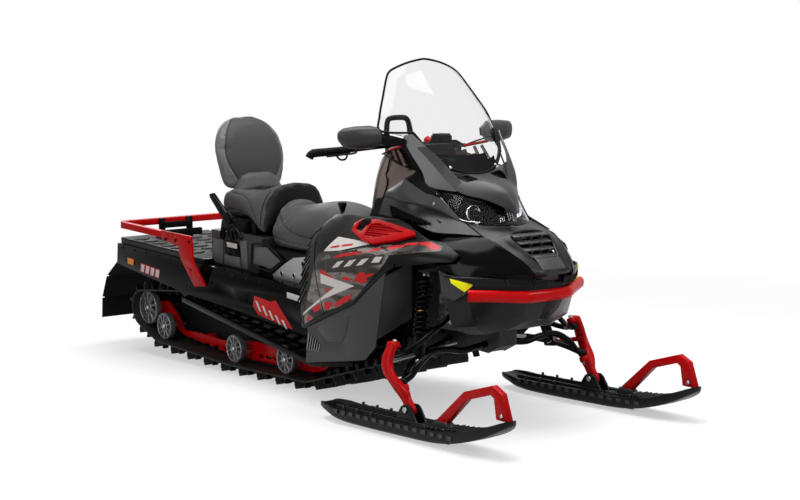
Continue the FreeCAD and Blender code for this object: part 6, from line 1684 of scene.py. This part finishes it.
# Painted highlight: the ski's ribs, rails and bolts get a lighter black than its body, in place of the light they
# catch.
ski_rib_highlight = finish("ski_rib_highlight", (0.03, 0.03, 0.031), 0.22, gloss=0.4, scale=500, depth=0.08)
gold = finish("gold_ring", (0.55, 0.26, 0.03), 0.26, metallic=1.0, scale=500, depth=0.08)
coil_turns, coil_points = 9.5, 190
shock_bodies, shock_rings, shock_mounts, coils = [], [], [], []
for s in (-1, 1):
    top, foot = (0.926, s * 0.262, 0.592), (0.988, s * 0.356, 0.256)
    around_shock = along_line(top, foot)
    axis = Vector(foot) - Vector(top)
    length = axis.length
    shock_bodies.append(turned([(0.012, 0.012), (0.012, 0.03), (0.033, 0.034), (0.033, 0.04), (0.014, 0.044),
                                (0.014, 0.12), (0.019, 0.125), (0.019, 0.235), (0.034, 0.238), (0.034, 0.248),
                                (0.022, 0.25), (0.022, length - 0.03), (0.014, length - 0.024), (0.014, length)],
                               top, axis, 28))
    shock_rings.append(turned([(0.0195, 0.148), (0.025, 0.149), (0.025, 0.159), (0.0195, 0.16)], top, axis, 28))
    shock_mounts.append(turned([(0.01, -0.002), (0.014, 0), (0.014, 0.012), (0.01, 0.014)],
                               (top[0] - 0.004, top[1], top[2] - 0.006), (1, 0, 0.2), 20))
    shock_mounts.append(turned([(0.012, -0.006), (0.016, -0.003), (0.016, 0.016), (0.012, 0.019)],
                               Vector(foot) - Vector((0.008, 0, 0)), (1, 0.1, 0), 20))
    coils.append([around_shock(0.0295, 2 * math.pi * coil_turns * i / coil_points, 0.042 + 0.194 * i / coil_points)
                  for i in range(coil_points + 1)])
shock_body = joined("shock_bodies", shock_bodies, tube_black, slot="black_metal")
springs = strand("shock_springs", coils, 0.0048, gloss_black, steps=1, slot="gloss_black")
gold_rings = joined("shock_rings", shock_rings, gold, slot="steel")
mounts = joined("shock_mounts", shock_mounts, steel, slot="steel")
for piece in (shock_body, springs, gold_rings, mounts):
    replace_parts(piece, "front_shocks")
high_eye, low_eye = Vector((0.992, 0.471, 0.334)), Vector((1.055, 0.482, 0.178))
king = (high_eye - low_eye).normalized()
tubes = strand("arm_tubes", across((1.046, 0.474, 0.204), (1.05, 0.44, 0.222), (1.05, 0.4, 0.262), (1.044, 0.33, 0.3),
                                   (1.04, 0.25, 0.3), (1.038, 0.17, 0.286), (1.036, 0.1, 0.292), (1.036, 0.04, 0.3)) +
               across((1.042, 0.47, 0.208), (0.99, 0.4, 0.246), (0.94, 0.28, 0.28), (0.88, 0.15, 0.292),
                      (0.82, 0.058, 0.3)), 0.0135, gloss_black, steps=4, slot="gloss_black")
tubes_high = strand("upper_arm_tubes", across((1.002, 0.466, 0.312), (1.0, 0.43, 0.31)) + across(
    (1.0, 0.434, 0.31), (1.026, 0.4, 0.33), (1.044, 0.34, 0.37), (1.04, 0.21, 0.446)) + across(
    (1.0, 0.434, 0.31), (0.96, 0.4, 0.322), (0.9, 0.34, 0.36), (0.81, 0.21, 0.446)), 0.0115, gloss_black, steps=4,
    slot="gloss_black")
joints = []
for s in (-1, 1):
    lean = Vector((king.x, s * king.y, king.z))
    for eye, shift in ((low_eye, 0.0255), (high_eye, -0.0255)):
        centre = Vector((eye.x, s * eye.y, eye.z)) + lean * shift
        joints.append(turned([(0.012, -0.013), (0.018, -0.01), (0.0195, 0), (0.018, 0.01), (0.012, 0.013)], centre,
                             lean, 20))
    joints.append(turned([(0.009, -0.02), (0.011, -0.018), (0.011, 0.036), (0.009, 0.038)],
                         (0.978, s * 0.352, 0.25), (1, 0, 0.1), 16))
ball_joints = joined("ball_joints", joints, tube_black, slot="black_metal")
for piece in (tubes, tubes_high, ball_joints):
    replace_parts(piece, "control_arms")

# Uprights and skis: red cast uprights with silver bolts, and glossy moulded skis with cross ribs in
# their trough, a steel runner below and a red carrying loop bolted to the tip.

def shell_of(stations, section, steps, flip=1, shift=0.0):
    """A closed skin through the rings that a section makes of each station, flipped or moved sideways."""
    rings = [[(x, flip * y + shift, z) for x, y, z in section(*station)] for station in stations]
    columns = [curved([Vector(p) for p in column], steps) for column in zip(*rings)]
    return loft_mesh("shell", [list(ring) for ring in zip(*columns)])


def ski_ring(x, half, low, top, floor):
    """Cross-section of the ski: keeled sole, rolled edges and a trough."""
    wall = min(0.012, half * 0.3)
    return [(x, -half, top), (x, -half - 0.001, low + 0.012), (x, -half * 0.86, low + 0.002), (x, -half * 0.3, low),
            (x, half * 0.3, low), (x, half * 0.86, low + 0.002), (x, half + 0.001, low + 0.012), (x, half, top),
            (x, half - wall, top), (x, half - wall - 0.004, floor), (x, -half + wall + 0.004, floor),
            (x, -half + wall, top)]


ski_stations = [(0.572, 0.03, 0.046, 0.062, 0.06), (0.58, 0.044, 0.04, 0.066, 0.062),
                (0.64, 0.06, 0.028, 0.064, 0.05), (0.7, 0.069, 0.016, 0.058, 0.036),
                (0.82, 0.073, 0.009, 0.058, 0.034), (1.105, 0.073, 0.009, 0.06, 0.034),
                (1.3, 0.073, 0.012, 0.062, 0.038), (1.42, 0.073, 0.026, 0.072, 0.05),
                (1.52, 0.069, 0.052, 0.092, 0.074), (1.6, 0.06, 0.08, 0.116, 0.1),
                (1.65, 0.045, 0.104, 0.134, 0.126), (1.672, 0.028, 0.118, 0.142, 0.138),
                (1.68, 0.01, 0.126, 0.144, 0.143)]


def leg_ring(x, y, z, deep, wide):
    """Rounded section of the cast upright, level with the floor."""
    return [(x + deep * math.copysign(abs(math.cos(a)) ** 0.7, math.cos(a)),
             y + wide * math.copysign(abs(math.sin(a)) ** 0.7, math.sin(a)), z)
            for a in (2 * math.pi * i / 20 for i in range(20))]


leg_stations = [(0.995, 0.488, 0.354, 0.012, 0.01), (0.995, 0.49, 0.35, 0.019, 0.016),
                (0.998, 0.494, 0.33, 0.022, 0.019), (0.995, 0.51, 0.3, 0.025, 0.017),
                (1.0, 0.519, 0.262, 0.027, 0.016), (1.018, 0.519, 0.228, 0.028, 0.017),
                (1.042, 0.51, 0.2, 0.031, 0.02), (1.06, 0.498, 0.172, 0.033, 0.022),
                (1.078, 0.492, 0.142, 0.027, 0.015), (1.1, 0.49, 0.114, 0.029, 0.013),
                (1.105, 0.49, 0.092, 0.028, 0.0125), (1.105, 0.49, 0.088, 0.02, 0.009)]
stance, bolt_x, bolt_z = 0.49, 1.105, 0.104
ear_line = ((-0.085, 0.03), (0.085, 0.03), (0.06, 0.07), (0.03, 0.112), (0.015, 0.122), (-0.015, 0.122), (-0.03, 0.112),
            (-0.06, 0.07))
pin_profile = [(0.013, -0.034), (0.013, -0.03), (0.008, -0.029), (0.008, 0.029), (0.013, 0.03), (0.013, 0.034)]
for label, s in (("left", 1), ("right", -1)):
    lean = Vector((king.x, s * king.y, king.z))
    high, low = (Vector((eye.x, s * eye.y, eye.z)) for eye in (high_eye, low_eye))
    foot = Vector((bolt_x, s * stance, bolt_z))
    boss = [(0.012, -0.0125), (0.0185, -0.0115), (0.02, -0.009), (0.02, 0.009), (0.0185, 0.0115), (0.012, 0.0125)]
    cast = [shell_of(leg_stations, leg_ring, 3, flip=s),
            turned(boss, high, lean, 24), turned(boss, low, lean, 24),
            turned([(0.009, 0), (0.0125, 0.004), (0.0125, 0.016), (0.009, 0.02)],
                   Vector((0.922, s * 0.448, 0.24)) - lean * 0.01, lean, 20),
            turned([(0.009, 0), (0.0105, 0.002), (0.0095, 0.105)], (1.012, s * 0.508, 0.257),
                   Vector((0.922, s * 0.448, 0.24)) - Vector((1.012, s * 0.508, 0.257)), 16)]
    upright = joined("spindle_cast_" + label, cast, cast_red, body="spindle_" + label, slot="red_metal")
    rounded(upright, 0.001, 50)
    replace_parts(upright, "spindle_" + label)
    bits = [turned([(0.0135, 0.0115), (0.0135, 0.0135), (0.009, 0.015), (0.009, 0.023), (0.005, 0.025)], centre,
                   lean * up, 6) for centre, up in ((high, 1), (low, -1))]
    bits.append(turned([(0.012, 0.019), (0.012, 0.022), (0.0085, 0.023), (0.0085, 0.03), (0.006, 0.031)], low, lean, 6))
    bits.append(turned(pin_profile, foot, (0, 1, 0), 6))
    heads = joined("spindle_bolts_" + label, bits, steel, body="spindle_" + label, slot="steel")
    rounded(heads, 0.0012, 40)
    # Ski: glossy plastic with cross ribs, side rails and bolts in its trough, a steel runner below.
    y0 = s * stance
    hull = shell_of(ski_stations, ski_ring, 4, shift=y0)
    ears = [prism([(bolt_x + x, z) for x, z in ear_line], y0 + side * 0.023 - 0.004, y0 + side * 0.023 + 0.004, "y")
            for side in (-1, 1)]
    keel = prism([(0.76, 0.02), (0.79, 0.006), (1.31, 0.006), (1.34, 0.02), (1.34, 0.034), (0.76, 0.034)], y0 - 0.009,
                 y0 + 0.009, "y")
    ski_body = joined("ski_blade_" + label, [hull, keel] + ears, ski_black, body="ski_" + label, slot="ski_black")
    rounded(ski_body, 0.0025, 35)
    # Painted highlight: these ribs, rails, block and bolts take the lighter ski finish.
    ski_bits = [bars(12, (0.69, y0, 0.045), (0.031, 0, 0.0), (0.0045, 0.122, 0.022)),
                bars(11, (1.17, y0, 0.048), (0.03, 0, 0.0022), (0.0045, 0.122, 0.022), (0, -0.001, 0)),
                bars(2, (1.0, y0 - 0.034, 0.052), (0, 0.068, 0), (0.66, 0.005, 0.03)),
                prism([(1.24, 0.05), (1.263, 0.0895), (1.337, 0.0855), (1.36, 0.05)], y0 - 0.0155, y0 + 0.0155, "y"),
                bars(15, (0.72, y0 - 0.0745, 0.05), (0.05, 0, 0.0), (0.026, 0.006, 0.016)),
                bars(15, (0.72, y0 + 0.0745, 0.05), (0.05, 0, 0.0), (0.026, 0.006, 0.016)),
                set_on([(x, y0 + side * 0.05, 0.062) for x in (0.74, 0.83, 0.92, 1.25, 1.36) for side in (-1, 1)],
                       [(0, 0, 1)] * 10, (0.012, 0.012, 0.024))]
    ski_ribs = joined("ski_ribs_" + label, ski_bits, ski_rib_highlight, body="ski_" + label, slot="gloss_black")
    rounded(ski_ribs, 0.0012, 40, 1)
    runner = strand("ski_runner_" + label, [[(0.77, y0, 0.004), (1.05, y0, 0.0035), (1.33, y0, 0.004)]], 0.0035, steel,
                    body="ski_" + label, steps=4, slot="steel")
    joined("loop_bolts_" + label, [turned([(0.009, 0), (0.009, 0.004), (0.005, 0.006)],
                                          (1.642, y0 + side * 0.0135, 0.156), (0, side, 0), 10)
                                   for side in (-1, 1)], steel, body="ski_" + label, slot="steel")
    for piece in (ski_body, ski_ribs, runner):
        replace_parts(piece, "ski_" + label)
    dress("ski_loop_" + label, cast_red)
    dress("tie_rod_" + label, steel)

# Cradle plates: bright drilled sheet behind the shocks, riveted to the sides of the keel box, one
# on each side.
flat_patch("cradle_plates", [[(0.93, 0.4), (1.05, 0.385), (1.1, 0.47), (1.1, 0.6), (1.02, 0.66), (0.95, 0.6)]], 0.2035,
           0.003, silver, slot="steel")
side_heads("cradle_holes", [(1.0, 0.45), (1.04, 0.5), (0.985, 0.53), (1.04, 0.42)], 0.204, (0.026, 0.026, 0.002),
           satin_black, "black_plastic")
